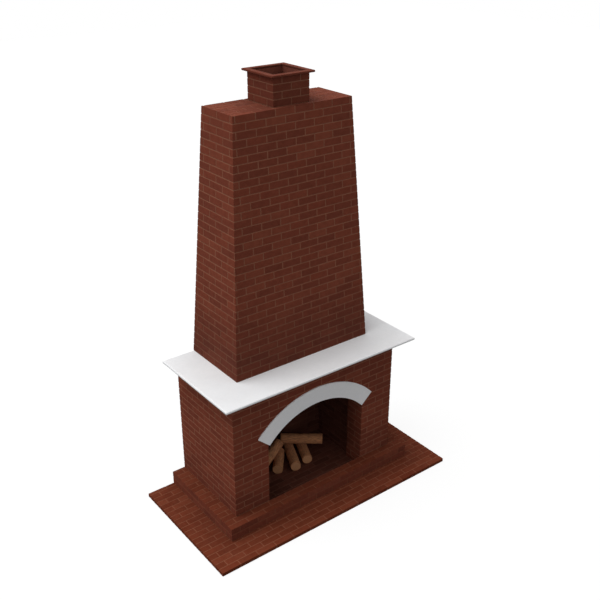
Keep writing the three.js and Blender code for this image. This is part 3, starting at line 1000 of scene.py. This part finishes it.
SWEPT_HEIGHT = 0.2
BEHIND_FACE = 0.01
INTO_JOINT = 0.02
RIM_DEPTH = 0.45
RIM_SOOT = 0.4
parts = put(soot, "ShaderNodeSeparateXYZ", {"Vector": soot_in.outputs["Vector"]}).outputs
off_middle = reckon(soot, "ABSOLUTE", parts["X"])
past_mouth = soot_range(parts["Y"], body_front, pier_back, 0, soot_in.outputs["Fire Soot"])
by_height = soot_range(parts["Z"], floor_top, floor_top + SWEPT_HEIGHT, soot_in.outputs["Floor Share"], 1)
sides = reckon(soot, "LESS_THAN", off_middle, firebox_side + INTO_JOINT)
before_back = reckon(soot, "LESS_THAN", parts["Y"], back_wall_front - BEHIND_FACE)
below_throat = reckon(soot, "LESS_THAN", parts["Z"], lining_top)
within = reckon(soot, "MULTIPLY", reckon(soot, "MULTIPLY", sides, before_back), below_throat)
in_firebox = reckon(soot, "MULTIPLY", reckon(soot, "MULTIPLY", past_mouth, by_height), within)
axis_gap = reckon(soot, "ABSOLUTE", reckon(soot, "SUBTRACT", parts["Y"], flue_axis))
widest = reckon(soot, "MAXIMUM", off_middle, axis_gap)
in_bore = reckon(soot, "LESS_THAN", widest, stack_side - BEHIND_FACE)
below_rim = soot_range(parts["Z"], stack_top, stack_top - RIM_DEPTH, RIM_SOOT, soot_in.outputs["Flue Soot"])
over_throat = reckon(soot, "GREATER_THAN", parts["Z"], lining_top)
in_flue_soot = reckon(soot, "MULTIPLY", reckon(soot, "MULTIPLY", in_bore, below_rim), over_throat)
most = reckon(soot, "MAXIMUM", in_firebox, in_flue_soot)
licks = put(
    soot,
    "ShaderNodeTexNoise",
    {"Vector": soot_in.outputs["Vector"], "Scale": 7, "Detail": 5, "Roughness": 0.6},
)
uneven = soot_range(licks.outputs["Fac"], 0.0, 1.0, 0.8, 1.2)
soot.links.new(soot_range(reckon(soot, "MULTIPLY", most, uneven), 0, 1), soot_out.inputs["Mask"])
print("group", soot.name)

# %% [markdown]
# Painted shade gathers where one part stands on another: the colour darkens at the foot of the breast on the
# mantel, of the stack on the breast, of the body on the plinth, of the plinth on the hearth, where shade
# falls. The group measures how far a point is from each of these inner corners, up the wall or out along the
# ledge, and keeps the strongest. Inside the walls it stops, because the firebox has soot of its own. An
# ambient occlusion node would find such corners by itself, but it has to trace rays and depends on what else
# is in the scene.

# %% Group: painted corner shade
grime, grime_in, grime_out = start_group("grime", [("Vector", "NodeSocketVector", None)], ["Mask"])

SKIN = (0.05, 0.12)
parts = put(grime, "ShaderNodeSeparateXYZ", {"Vector": grime_in.outputs["Vector"]}).outputs
off_middle = reckon(grime, "ABSOLUTE", parts["X"])
# Each ledge: its level, the side and front of what stands on it, how far the painted shade reaches, its
# strength
ledges = [
    (hearth_top, plinth_side, plinth_front, 0.35, 0.22),
    (plinth_top, body_side, body_front, 0.45, 0.22),
    (mantel_top, base_side, base_front, 0.80, 0.44),
    (breast_top, stack_side, flue_axis - stack_side, 0.40, 0.26),
]
strongest = None
for level, side, front, reach, strength in ledges:
    beside = reckon(grime, "MAXIMUM", reckon(grime, "SUBTRACT", off_middle, side))
    before = reckon(grime, "MAXIMUM", reckon(grime, "SUBTRACT", front, parts["Y"]))
    above = reckon(grime, "SUBTRACT", parts["Z"], level)
    outwards = put(grime, "ShaderNodeCombineXYZ", {"X": beside, "Y": before, "Z": above})
    away = put(grime, "ShaderNodeVectorMath", {0: outwards.outputs[0]}, operation="LENGTH").outputs["Value"]
    fading = {"Value": away, "From Min": 0, "From Max": reach, "To Min": strength, "To Max": 0}
    faded = put(grime, "ShaderNodeMapRange", fading, interpolation_type="SMOOTHSTEP").outputs[0]
    from_side = reckon(grime, "SUBTRACT", side, off_middle)
    from_front = reckon(grime, "SUBTRACT", parts["Y"], front)
    depth = reckon(grime, "MINIMUM", from_side, from_front)
    outdoors = {"Value": depth, "From Min": SKIN[0], "From Max": SKIN[1], "To Min": 1, "To Max": 0}
    outside = put(grime, "ShaderNodeMapRange", outdoors).outputs[0]
    on_ledge = reckon(grime, "GREATER_THAN", above, -2 * RECESS)
    here_only = reckon(grime, "MULTIPLY", reckon(grime, "MULTIPLY", faded, on_ledge), outside)
    strongest = here_only if strongest is None else reckon(grime, "MAXIMUM", strongest, here_only)
runs = put(
    grime,
    "ShaderNodeTexNoise",
    {"Vector": grime_in.outputs["Vector"], "Scale": 5, "Detail": 5, "Roughness": 0.6},
)
uneven = put(grime, "ShaderNodeMapRange", {"Value": runs.outputs["Fac"], "To Min": 0.75, "To Max": 1.25})
grime.links.new(reckon(grime, "MULTIPLY", strongest, uneven.outputs[0]), grime_out.inputs["Mask"])
print("group", grime.name, "with", len(ledges), "ledges")

# %% [markdown]
# Dust settles on what faces up: the mantel, the paving, the tops of the plinth. It lies thin and in clouds.

# %% Group: dust
dust, dust_in, dust_out = start_group(
    "dust", [("Vector", "NodeSocketVector", None), ("Amount", "NodeSocketFloat", 0.3)], ["Mask"]
)
surface = put(dust, "ShaderNodeNewGeometry")
facing = put(dust, "ShaderNodeSeparateXYZ", {"Vector": surface.outputs["Normal"]})
upward = put(dust, "ShaderNodeMapRange", {"Value": facing.outputs["Z"], "From Min": 0.6, "From Max": 1})
drifts = put(dust, "ShaderNodeTexNoise", {"Vector": dust_in.outputs["Vector"], "Scale": 9, "Detail": 6})
clouding = {"Value": drifts.outputs["Fac"], "From Min": 0.35, "From Max": 0.75}
drift_share = put(dust, "ShaderNodeMapRange", clouding)
settled = reckon(dust, "MULTIPLY", upward.outputs[0], drift_share.outputs[0])
dust.links.new(reckon(dust, "MULTIPLY", settled, dust_in.outputs["Amount"]), dust_out.inputs["Mask"])
print("group", dust.name)

# %% [markdown]
# ## Brick and mortar
#
# A brick's colour starts from its own tone, is clouded by patches, dotted with dark iron and worn pale
# along its arrises. A picture of a brick wall would repeat and couldn't follow the cut bricks; the tone
# that each brick carries does.

# %% Material: brick
def start_material(name):
    made = bpy.data.materials.new(name)
    made.use_nodes = True
    tree = made.node_tree
    tree.nodes.clear()
    surface_out = put(tree, "ShaderNodeOutputMaterial")
    shader = put(tree, "ShaderNodeBsdfPrincipled")
    tree.links.new(shader.outputs[0], surface_out.inputs["Surface"])
    here = put(tree, "ShaderNodeTexCoord").outputs["Object"]
    return made, tree, shader, here


def mix_colour(tree, share, one, two, blend="MIX"):
    mixed = put(tree, "ShaderNodeMix", data_type="RGBA", blend_type=blend)
    for socket, value in ((mixed.inputs[0], share), (mixed.inputs[6], one), (mixed.inputs[7], two)):
        if isinstance(value, bpy.types.NodeSocket):
            tree.links.new(value, socket)
        else:
            socket.default_value = value
    return mixed.outputs[2]


def times(tree, one, two):
    return put(tree, "ShaderNodeMath", {0: one, 1: two}, operation="MULTIPLY", use_clamp=True).outputs[0]


def roughen(tree, shader, height, strength, depth):
    """A fine relief in the shading, from a height that changes over the surface."""
    bump = put(tree, "ShaderNodeBump", {"Height": height, "Strength": strength, "Distance": depth})
    tree.links.new(bump.outputs[0], shader.inputs["Normal"])


def rgb(red, green, blue):
    """A colour from its screen values, 0 to 255."""
    return (*(((c / 255 + 0.055) / 1.055) ** 2.4 if c > 10 else c / 3294.6 for c in (red, green, blue)), 1)


SOOT_BLACK = rgb(24, 17, 14)
# Painted shade: the dark brown that inner corners are darkened towards.
PAINTED_SHADE_BROWN = rgb(34, 19, 15)
CLOUDED_BRICK = (0.45, 0.38, 0.36, 1)


def brick_material(name, tones, worn_colour, dust_amount):
    made, tree, shader, here = start_material(name)
    own_tone = put(tree, "ShaderNodeAttribute", attribute_name="tone").outputs["Fac"]
    worn = put(tree, "ShaderNodeAttribute", attribute_name="worn").outputs["Fac"]
    ramp = put(tree, "ShaderNodeValToRGB", {"Fac": own_tone})
    ramp.color_ramp.elements[0].color = tones[0]
    ramp.color_ramp.elements[1].color = tones[-1]
    for i, tone in enumerate(tones[1:-1]):
        ramp.color_ramp.elements.new((i + 1) / (len(tones) - 1)).color = tone
    clouds = place(tree, patches, {"Vector": here, "Size": 0.045}).outputs["Value"]
    clouded = mix_colour(tree, times(tree, clouds, 0.28), ramp.outputs["Color"], CLOUDED_BRICK, "MULTIPLY")
    sand = place(tree, grain, {"Vector": here, "Size": 0.0028, "Fleck Share": 0.22})
    spotted = mix_colour(tree, times(tree, sand.outputs["Flecks"], 0.45), clouded, rgb(42, 22, 18))
    rubbed = mix_colour(tree, times(tree, worn, 0.30), spotted, worn_colour)
    settled = place(tree, dust, {"Vector": here, "Amount": dust_amount}).outputs["Mask"]
    dusty = mix_colour(tree, settled, rubbed, rgb(150, 118, 100))
    # Painted shade: darker towards the inner corners where one part stands on another.
    corner_shade_mask = place(tree, grime, {"Vector": here}).outputs["Mask"]
    with_corner_shade = mix_colour(tree, corner_shade_mask, dusty, PAINTED_SHADE_BROWN)
    smoke = place(tree, soot, {"Vector": here}).outputs["Mask"]
    sooty = mix_colour(tree, smoke, with_corner_shade, SOOT_BLACK)
    tree.links.new(sooty, shader.inputs["Base Color"])
    rough = put(tree, "ShaderNodeMapRange", {"Value": clouds, "To Min": 0.78, "To Max": 0.92})
    tree.links.new(rough.outputs[0], shader.inputs["Roughness"])
    roughen(tree, shader, sand.outputs["Height"], strength=0.5, depth=0.0012)
    shader.inputs["Specular IOR Level"].default_value = 0.08
    return made


wall_tones = [rgb(115, 58, 43), rgb(121, 61, 45), rgb(124, 62, 45), rgb(130, 68, 50)]
wall_brick = brick_material("wall_brick", wall_tones, rgb(136, 78, 60), dust_amount=0.03)
paving_tones = [rgb(104, 46, 27), rgb(109, 50, 30), rgb(113, 52, 32), rgb(119, 58, 37)]
paving_brick = brick_material("paving_brick", paving_tones, rgb(126, 70, 46), dust_amount=0.03)
fire_tones = [rgb(84, 46, 36), rgb(98, 54, 42), rgb(106, 62, 50)]
fire_brick = brick_material("fire_brick", fire_tones, rgb(120, 76, 62), dust_amount=0)
print("bricks:", wall_brick.name, paving_brick.name, fire_brick.name)

# %% [markdown]
# Mortar is sand and lime: paler and browner than the bricks, rougher, and without tones of its own.

# %% Material: mortar
def mortar_material(name, colour):
    made, tree, shader, here = start_material(name)
    sand = place(tree, grain, {"Vector": here, "Size": 0.0020, "Fleck Share": 0.3})
    clouds = place(tree, patches, {"Vector": here, "Size": 0.25}).outputs["Value"]
    clouded = mix_colour(tree, times(tree, clouds, 0.3), colour, (0.55, 0.5, 0.5, 1), "MULTIPLY")
    sandy = mix_colour(tree, times(tree, sand.outputs["Flecks"], 0.35), clouded, rgb(96, 66, 54))
    # Painted shade: darker towards the inner corners where one part stands on another.
    corner_shade_mask = place(tree, grime, {"Vector": here}).outputs["Mask"]
    with_corner_shade = mix_colour(tree, corner_shade_mask, sandy, PAINTED_SHADE_BROWN)
    smoke = place(tree, soot, {"Vector": here}).outputs["Mask"]
    sooty = mix_colour(tree, smoke, with_corner_shade, SOOT_BLACK)
    tree.links.new(sooty, shader.inputs["Base Color"])
    roughen(tree, shader, sand.outputs["Height"], strength=0.8, depth=0.0015)
    shader.inputs["Roughness"].default_value = 0.95
    shader.inputs["Specular IOR Level"].default_value = 0.08
    return made


wall_mortar = mortar_material("wall_mortar", rgb(146, 97, 76))
paving_mortar = mortar_material("paving_mortar", rgb(132, 78, 57))
fire_mortar = mortar_material("fire_mortar", rgb(108, 70, 56))
print("mortars:", wall_mortar.name, paving_mortar.name, fire_mortar.name)

# %% [markdown]
# Flue tiles are plain fired clay: smooth, orange-brown, sooted inside.

# %% Material: flue clay
flue_clay, tree, shader, here = start_material("flue_clay")
clouds = place(tree, patches, {"Vector": here, "Size": 0.12}).outputs["Value"]
fine = place(tree, grain, {"Vector": here, "Size": 0.0022, "Fleck Share": 0.15})
clay = mix_colour(tree, clouds, rgb(152, 74, 47), rgb(128, 58, 38))
spotted = mix_colour(tree, times(tree, fine.outputs["Flecks"], 0.4), clay, rgb(70, 36, 28))
smoke = place(tree, soot, {"Vector": here}).outputs["Mask"]
tree.links.new(mix_colour(tree, smoke, spotted, SOOT_BLACK), shader.inputs["Base Color"])
roughen(tree, shader, fine.outputs["Height"], strength=0.4, depth=0.0008)
shader.inputs["Roughness"].default_value = 0.8
print("clay:", flue_clay.name)

# %% [markdown]
# ## From the wall book to pieces
#
# Each solid in the book becomes one piece: a core of mortar, which is the solid with its showing faces
# raked back, and the bricks let into it. The solid itself is then hidden and the piece stands for it.

# %% Make the pieces
IN_ONE_LINE = 0.9
FACING_UP = 0.9
BORE_MARGIN = 0.005


def raked_core(mesh, node, faces):
    mesh.from_mesh(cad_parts[node].data)
    bmesh.ops.remove_doubles(mesh, verts=mesh.verts, dist=SAME_PLACE)
    for vertex in mesh.verts:
        start, used = vertex.co.copy(), []
        for face in faces:
            if face.holds(start) and all(abs(face.out.dot(other)) < IN_ONE_LINE for other in used):
                vertex.co -= face.out * RECESS
                used.append(face.out)


def in_flue(centre):
    return max(abs(centre.x), abs(centre.y - flue_axis)) < stack_side - BORE_MARGIN


def stand_for(node, mesh, name, materials, body="masonry"):
    """Turns a mesh into the piece that is seen instead of a solid."""
    data = bpy.data.meshes.new(name)
    mesh.to_mesh(data)
    mesh.free()
    for material in materials:
        data.materials.append(material)
    piece = bpy.data.objects.new(name, data)
    scene.collection.objects.link(piece)
    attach(piece, body)
    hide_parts(node)
    return piece


def dress(node, brick, mortar):
    mesh = bmesh.new()
    raked_core(mesh, node, book[node]["faces"])
    layers = {"tone": mesh.faces.layers.float.new("tone"), "worn": mesh.faces.layers.float.new("worn")}
    for facet in mesh.faces:
        facet.material_index = 2 if in_flue(facet.calc_center_median()) else 1
        facet[layers["tone"]] = 0.5
    for face, points, kinds in book[node]["bricks"]:
        laid_flat = node.startswith("plinth") and face.out.z > FACING_UP
        lay_brick(mesh, layers, face, points, kinds, 3 if laid_flat else 0)
    return stand_for(node, mesh, f"{node}_brickwork", [brick, mortar, flue_clay, paving_brick])


finishes = {}
for node in book:
    finishes[node] = (wall_brick, wall_mortar, "wall_brick")
for node in ("plinth_front", "plinth_left", "plinth_right"):
    finishes[node] = (wall_brick, paving_mortar, "hearth_brick")
finishes["hearth_slab"] = (paving_brick, paving_mortar, "hearth_brick")
for node in ("firebox_floor", "lining_left", "lining_right", "fireback", "fireback_slope"):
    finishes[node] = (fire_brick, fire_mortar, "firebrick")
facets = 0
for node, (brick, mortar, slot) in finishes.items():
    facets += len(dress(node, brick, mortar).data.polygons)
print("brickwork pieces:", len(book), "with", facets, "facets")

# %% [markdown]
# ## Stone
#
# The mantel and the arch are pale cut stone, honed and not polished. Sawn stone is never knife-sharp, so
# every outer edge is eased by two or three millimetres, which is what catches the light along the slab.

# %% Material: pale stone
pale_stone, tree, shader, here = start_material("pale_stone")
broad = place(tree, patches, {"Vector": here, "Size": 0.5}).outputs["Value"]
close = place(tree, patches, {"Vector": here, "Size": 0.03}).outputs["Value"]
speck = place(tree, grain, {"Vector": here, "Size": 0.004, "Fleck Share": 0.18})
body_tone = mix_colour(tree, broad, rgb(251, 251, 252), rgb(246, 247, 249))
mottled = mix_colour(tree, times(tree, close, 0.3), body_tone, rgb(235, 237, 240))
specked = mix_colour(tree, times(tree, speck.outputs["Flecks"], 0.25), mottled, rgb(202, 204, 208))
settled = place(tree, dust, {"Vector": here, "Amount": 0.08}).outputs["Mask"]
smoke = place(tree, soot, {"Vector": here}).outputs["Mask"]
dusty = mix_colour(tree, settled, specked, rgb(218, 215, 210))
# Painted shade: the stone greys towards the foot of the breast, at 0.4 of the corner-shade mask.
corner_shade_mask = place(tree, grime, {"Vector": here}).outputs["Mask"]
with_corner_shade = mix_colour(tree, times(tree, corner_shade_mask, 0.4), dusty, rgb(120, 116, 114))
tree.links.new(mix_colour(tree, times(tree, smoke, 0.8), with_corner_shade, SOOT_BLACK), shader.inputs["Base Color"])
rough = put(tree, "ShaderNodeMapRange", {"Value": close, "To Min": 0.55, "To Max": 0.75})
tree.links.new(rough.outputs[0], shader.inputs["Roughness"])
roughen(tree, shader, speck.outputs["Height"], strength=0.25, depth=0.0008)
shader.inputs["Specular IOR Level"].default_value = 0.3
print("stone:", pale_stone.name)

# %% [markdown]
# The mantel's edge is rounded over, nearly to a half circle, so its upper half looks up and catches the
# light. The slab is a ring of flat strips from that edge to the hole for the smoke chamber, which keeps its
# large top face to four clean quads. A bevel on the solid's edges would also round the hole.

# %% Mantel slab
ROUNDING = 0.013
EDGE_STEP = 15
RIM_MARGIN = 0.01
slab_low, slab_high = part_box("mantel_slab")
slab_points = [v.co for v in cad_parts["mantel_slab"].data.vertices]
hole_points = [p for p in slab_points if abs(p.x) < slab_high.x - RIM_MARGIN]
hole_low = Vector((min(p.x for p in hole_points), min(p.y for p in hole_points)))
hole_high = Vector((max(p.x for p in hole_points), max(p.y for p in hole_points)))


def slab_ring(mesh, inset, level):
    sides = rectangle(slab_low.x + inset, slab_high.x - inset, slab_low.y + inset, slab_high.y - inset)
    return [mesh.verts.new((x, y, level)) for x, y in sides]


def hole_ring(mesh, level):
    sides = rectangle(hole_low.x, hole_high.x, hole_low.y, hole_high.y)
    return [mesh.verts.new((x, y, level)) for x, y in sides]


mesh = bmesh.new()
rings = [hole_ring(mesh, slab_low.z)]
for angle in range(-90, 1, EDGE_STEP):
    turn = math.radians(angle)
    lift = ROUNDING * (1 + math.sin(turn))
    rings.append(slab_ring(mesh, ROUNDING * (1 - math.cos(turn)), slab_low.z + lift))
for angle in range(0, 91, EDGE_STEP):
    turn = math.radians(angle)
    drop = ROUNDING * (1 - math.sin(turn))
    rings.append(slab_ring(mesh, ROUNDING * (1 - math.cos(turn)), slab_high.z - drop))
rings.append(hole_ring(mesh, slab_high.z))
for lower, upper in zip(rings, rings[1:] + rings[:1]):
    for i in range(4):
        mesh.faces.new((lower[i], lower[(i + 1) % 4], upper[(i + 1) % 4], upper[i]))
bmesh.ops.recalc_face_normals(mesh, faces=mesh.faces)
mantel = stand_for("mantel_slab", mesh, "mantel_stone", [pale_stone])
print("mantel facets:", len(mantel.data.polygons))

# %% [markdown]
# The arch is swept along its circle in many short steps, so its curve stays round when seen close up.

# %% Stone arch
ARCH_STEPS = 72
ARCH_EASE = 0.0025
SHARP = math.radians(40)
arch_low, arch_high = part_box("stone_arch")
arch_ring = arch_radius - min(math.hypot(p.x, p.z - arch_centre) for p in arch_points)
mesh = bmesh.new()
sections = []
for step in range(ARCH_STEPS + 1):
    angle = arch_half_angle * (2 * step / ARCH_STEPS - 1)
    section = []
    for radius in (arch_radius - arch_ring, arch_radius):
        x, z = radius * math.sin(angle), arch_centre + radius * math.cos(angle)
        section += [mesh.verts.new((x, y, z)) for y in (arch_low.y, arch_high.y)]
    inner_front, inner_back, outer_front, outer_back = section
    sections.append((inner_front, outer_front, outer_back, inner_back))
for one, two in zip(sections, sections[1:]):
    for i in range(4):
        mesh.faces.new((one[i], two[i], two[(i + 1) % 4], one[(i + 1) % 4]))
mesh.faces.new(sections[0])
mesh.faces.new(sections[-1][::-1])
bmesh.ops.recalc_face_normals(mesh, faces=mesh.faces)
sharp = [e for e in mesh.edges if e.calc_face_angle() > SHARP]
bmesh.ops.bevel(mesh, geom=sharp, offset=ARCH_EASE, segments=2, profile=0.5, affect="EDGES")
arch = stand_for("stone_arch", mesh, "arch_stone", [pale_stone])
print("arch ring", round(arch_ring, 4), "facets", len(arch.data.polygons))

# %% [markdown]
# The collar is a thin clay plate bedded on the stack, the colour of the bricks. It has few edges, so a bevel
# round all of them does.

# %% Flue collar
COLLAR_EASE = 0.004
NEARLY_FLAT = math.radians(0.5)


def ease(mesh, width):
    """Rounds every edge sharper than 40 degrees."""
    bmesh.ops.remove_doubles(mesh, verts=mesh.verts, dist=SAME_PLACE)
    bmesh.ops.dissolve_limit(mesh, angle_limit=NEARLY_FLAT, verts=mesh.verts, edges=mesh.edges)
    sharp = [e for e in mesh.edges if e.is_manifold and e.calc_face_angle() > SHARP]
    bmesh.ops.bevel(mesh, geom=sharp, offset=width, segments=3, profile=0.5, affect="EDGES")


mesh = bmesh.new()
mesh.from_mesh(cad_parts["flue_collar"].data)
ease(mesh, COLLAR_EASE)
collar_clay = brick_material("collar_clay", wall_tones, rgb(140, 84, 68), dust_amount=0.1)
collar = stand_for("flue_collar", mesh, "flue_collar_plate", [collar_clay])
print("collar facets:", len(collar.data.polygons))

# %% [markdown]
# ## Firewood
#
# Five short logs, sawn at both ends, with thin brown bark. Each is turned on the axis of its solid: a
# cylinder would be too regular, so the girth wavers, the bark is furrowed along the grain, and a sawn end
# shows the wood inside the bark with its rings.

# %% Materials: bark and sawn wood
bark, tree, shader, here = start_material("bark")
along = put(tree, "ShaderNodeUVMap", uv_map="grain").outputs["UV"]
stretched = put(tree, "ShaderNodeMapping", {"Vector": along, "Scale": (1, 0.16, 1)}).outputs["Vector"]
streaks = put(tree, "ShaderNodeTexNoise", {"Vector": stretched, "Scale": 120, "Detail": 5, "Roughness": 0.6})
clouds = place(tree, patches, {"Vector": here, "Size": 0.07}).outputs["Value"]
cracks = put(tree, "ShaderNodeMapRange", {"Value": streaks.outputs["Fac"], "From Min": 0.35, "From Max": 0.6})
base = mix_colour(tree, clouds, rgb(208, 146, 100), rgb(186, 126, 86))
furrowed = mix_colour(tree, cracks.outputs[0], rgb(142, 94, 64), base)
tree.links.new(furrowed, shader.inputs["Base Color"])
roughen(tree, shader, streaks.outputs["Fac"], strength=0.7, depth=0.003)
shader.inputs["Roughness"].default_value = 0.9

sawn, tree, shader, here = start_material("sawn_wood")
across = put(tree, "ShaderNodeUVMap", uv_map="grain").outputs["UV"]
rings = put(
    tree,
    "ShaderNodeTexWave",
    {"Vector": across, "Scale": 60, "Distortion": 2.5, "Detail": 3, "Detail Scale": 1.2},
    wave_type="RINGS",
    rings_direction="Z",
)
fibres = place(tree, grain, {"Vector": across, "Size": 0.0015, "Fleck Share": 0.1})
ringed = mix_colour(tree, times(tree, rings.outputs["Fac"], 0.6), rgb(206, 150, 108), rgb(166, 112, 76))
flecked = mix_colour(tree, times(tree, fibres.outputs["Flecks"], 0.4), ringed, rgb(110, 76, 54))
tree.links.new(flecked, shader.inputs["Base Color"])
roughen(tree, shader, fibres.outputs["Height"], strength=0.4, depth=0.0008)
shader.inputs["Roughness"].default_value = 0.85
print("wood:", bark.name, sawn.name)

# %% Turn a log on its axis
BARK = 0.004
ROUND_STEPS = 48
LONG_STEPS = 26
GIRTH = 0.975
FULL_GIRTH = 0.998
BULGE = 0.022
OVAL = 0.008
FURROW_WIDTH = 0.16
FURROW_DEPTH = 0.16


def log_frame(node):
    """Ends of a log's axis, its radius, and two directions across it."""
    places = np.array([v.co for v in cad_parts[node].data.vertices])
    middle = places.mean(0)
    axis = np.linalg.eigh(np.cov((places - middle).T))[1][:, -1]
    reach = (places - middle) @ axis
    off = places - middle - np.outer(reach, axis)
    start, end = Vector(middle + axis * reach.min()), Vector(middle + axis * reach.max())
    along = (end - start).normalized()
    across = along.cross(Vector((0, 0, 1))).normalized()
    return start, end, float(np.linalg.norm(off, axis=1).max()), across, along.cross(across)


def log_radius(angle, share, radius, number):
    round_place = Vector((math.cos(angle), math.sin(angle), share * 4 + number * 7))
    girth = noise.noise(round_place * 0.9) * BULGE + math.sin(2 * angle + number) * OVAL
    furrow = abs(noise.noise(Vector((math.cos(angle) * 7, math.sin(angle) * 7, share * 3 + number * 3))))
    return radius * min(FULL_GIRTH, GIRTH + girth - max(0, FURROW_WIDTH - furrow) * FURROW_DEPTH)


def turn_log(node, number):
    start, end, radius, across, other = log_frame(node)
    mesh = bmesh.new()
    uv = mesh.loops.layers.uv.new("grain")
    grain_at = {}

    def vertex(share, angle, distance):
        offset = across * math.cos(angle) * distance + other * math.sin(angle) * distance
        return mesh.verts.new(start.lerp(end, share) + offset)

    length = (end - start).length
    rings = []
    for step in range(LONG_STEPS + 1):
        share = step / LONG_STEPS
        ring = []
        for turn in range(ROUND_STEPS):
            angle = 2 * math.pi * turn / ROUND_STEPS
            ring.append(vertex(share, angle, log_radius(angle, share, radius, number)))
        rings.append(ring)
    for step, (one, two) in enumerate(zip(rings, rings[1:])):
        for turn in range(ROUND_STEPS):
            after = (turn + 1) % ROUND_STEPS
            facet = mesh.faces.new((one[turn], two[turn], two[after], one[after]))
            facet.smooth = True
            corners = ((turn, step), (turn, step + 1), (turn + 1, step + 1), (turn + 1, step))
            for loop, (u, v) in zip(facet.loops, corners):
                loop[uv].uv = (u * 2 * math.pi * radius / ROUND_STEPS, v * length / LONG_STEPS + number)
    for ring, share, inwards in ((rings[0], 0, 1), (rings[-1], 1, -1)):
        circles = [ring]
        for distance, sunk in ((radius - 2 * BARK, 0.0012), (radius * 0.55, 0.0006), (radius * 0.15, 0.001)):
            circle = []
            for turn in range(ROUND_STEPS):
                angle = 2 * math.pi * turn / ROUND_STEPS
                circle.append(vertex(share + inwards * sunk / length, angle, distance))
            circles.append(circle)
        centre = vertex(share + inwards * 0.001 / length, 0, 0)
        for depth, (outer, inner) in enumerate(zip(circles, circles[1:])):
            for turn in range(ROUND_STEPS):
                after = (turn + 1) % ROUND_STEPS
                order = (outer[turn], inner[turn], inner[after], outer[after])
                facet = mesh.faces.new(order if inwards < 0 else order[::-1])
                facet.material_index = 0 if depth == 0 else 1
        for turn in range(ROUND_STEPS):
            order = (circles[-1][turn], centre, circles[-1][(turn + 1) % ROUND_STEPS])
            facet = mesh.faces.new(order if inwards < 0 else order[::-1])
            facet.material_index = 1
        for facet in mesh.faces:
            if facet.material_index == 1 or not facet.smooth:
                for loop in facet.loops:
                    spot = loop.vert.co - start
                    loop[uv].uv = (spot.dot(across), spot.dot(other))
    bmesh.ops.recalc_face_normals(mesh, faces=mesh.faces)
    return stand_for(node, mesh, f"{node}_firewood", [bark, sawn])


for number in range(1, 6):
    log = turn_log(f"log_{number}", number)
    print(log.name, "facets", len(log.data.polygons))

# %% [markdown]
# ## What is hidden inside
#
# The backing, the relieving arch, the smoke shelf and the smoke chamber are rough brickwork. Their solids
# already have the right shape, so they stay and only get a finish. Here a brick texture is enough, laid on
# the height and on the sum of both level directions.

# %% Materials: rough brickwork and cast iron
rough_brickwork, tree, shader, here = start_material("rough_brickwork")
parts = put(tree, "ShaderNodeSeparateXYZ", {"Vector": here})
level = reckon(tree, "ADD", parts.outputs["X"], parts.outputs["Y"])
laid_on = put(tree, "ShaderNodeCombineXYZ", {"X": level, "Y": parts.outputs["Z"]})
courses = put(
    tree,
    "ShaderNodeTexBrick",
    {
        "Vector": laid_on.outputs[0],
        "Color1": rgb(150, 88, 70),
        "Color2": rgb(118, 64, 50),
        "Mortar": rgb(150, 124, 108),
        "Scale": 1,
        "Mortar Size": JOINT / 2,
        "Brick Width": BRICK,
        "Row Height": ROW,
    },
)
fine = place(tree, grain, {"Vector": here, "Size": 0.004, "Fleck Share": 0.3})
spots = times(tree, fine.outputs["Flecks"], 0.4)
spotted = mix_colour(tree, spots, courses.outputs["Color"], rgb(70, 44, 36))
smoke = place(tree, soot, {"Vector": here}).outputs["Mask"]
tree.links.new(mix_colour(tree, times(tree, smoke, 0.9), spotted, SOOT_BLACK), shader.inputs["Base Color"])
raised = reckon(tree, "SUBTRACT", fine.outputs["Height"], courses.outputs["Fac"])
roughen(tree, shader, raised, strength=0.8, depth=0.003)
shader.inputs["Roughness"].default_value = 0.95

cast_iron, tree, shader, here = start_material("cast_iron")
skin = place(tree, grain, {"Vector": here, "Size": 0.0016, "Fleck Share": 0.15})
clouds = place(tree, patches, {"Vector": here, "Size": 0.05}).outputs["Value"]
rust_edge = put(tree, "ShaderNodeMapRange", {"Value": clouds, "From Min": 0.62, "From Max": 0.95})
rusty = mix_colour(tree, times(tree, rust_edge.outputs[0], 0.6), rgb(52, 50, 49), rgb(92, 54, 36))
tree.links.new(rusty, shader.inputs["Base Color"])
metal = put(tree, "ShaderNodeMapRange", {"Value": rust_edge.outputs[0], "To Min": 0.9, "To Max": 0.2})
tree.links.new(metal.outputs[0], shader.inputs["Metallic"])
rough = put(tree, "ShaderNodeMapRange", {"Value": clouds, "To Min": 0.55, "To Max": 0.8})
tree.links.new(rough.outputs[0], shader.inputs["Roughness"])
roughen(tree, shader, skin.outputs["Height"], strength=0.4, depth=0.0006)
print("finishes:", rough_brickwork.name, cast_iron.name)

# %% Finish the solids that stay
kept = {
    rough_brickwork: ["backing_left", "backing_right", "relieving_arch", "smoke_shelf"],
    cast_iron: ["damper_frame", "damper_flap", "damper_pin", "pull_pin", "damper_pull"],
    flue_clay: ["flue_tile_1", "flue_tile_2", "flue_tile_3"],
}
for place_name in ("front", "back", "left", "right"):
    kept[rough_brickwork] += [f"smoke_chamber_{place_name}", f"smoke_hood_{place_name}"]
for material, names in kept.items():
    for name in names:
        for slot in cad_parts[name].material_slots:
            slot.material = material
print("solids kept:", sum(len(names) for names in kept.values()))
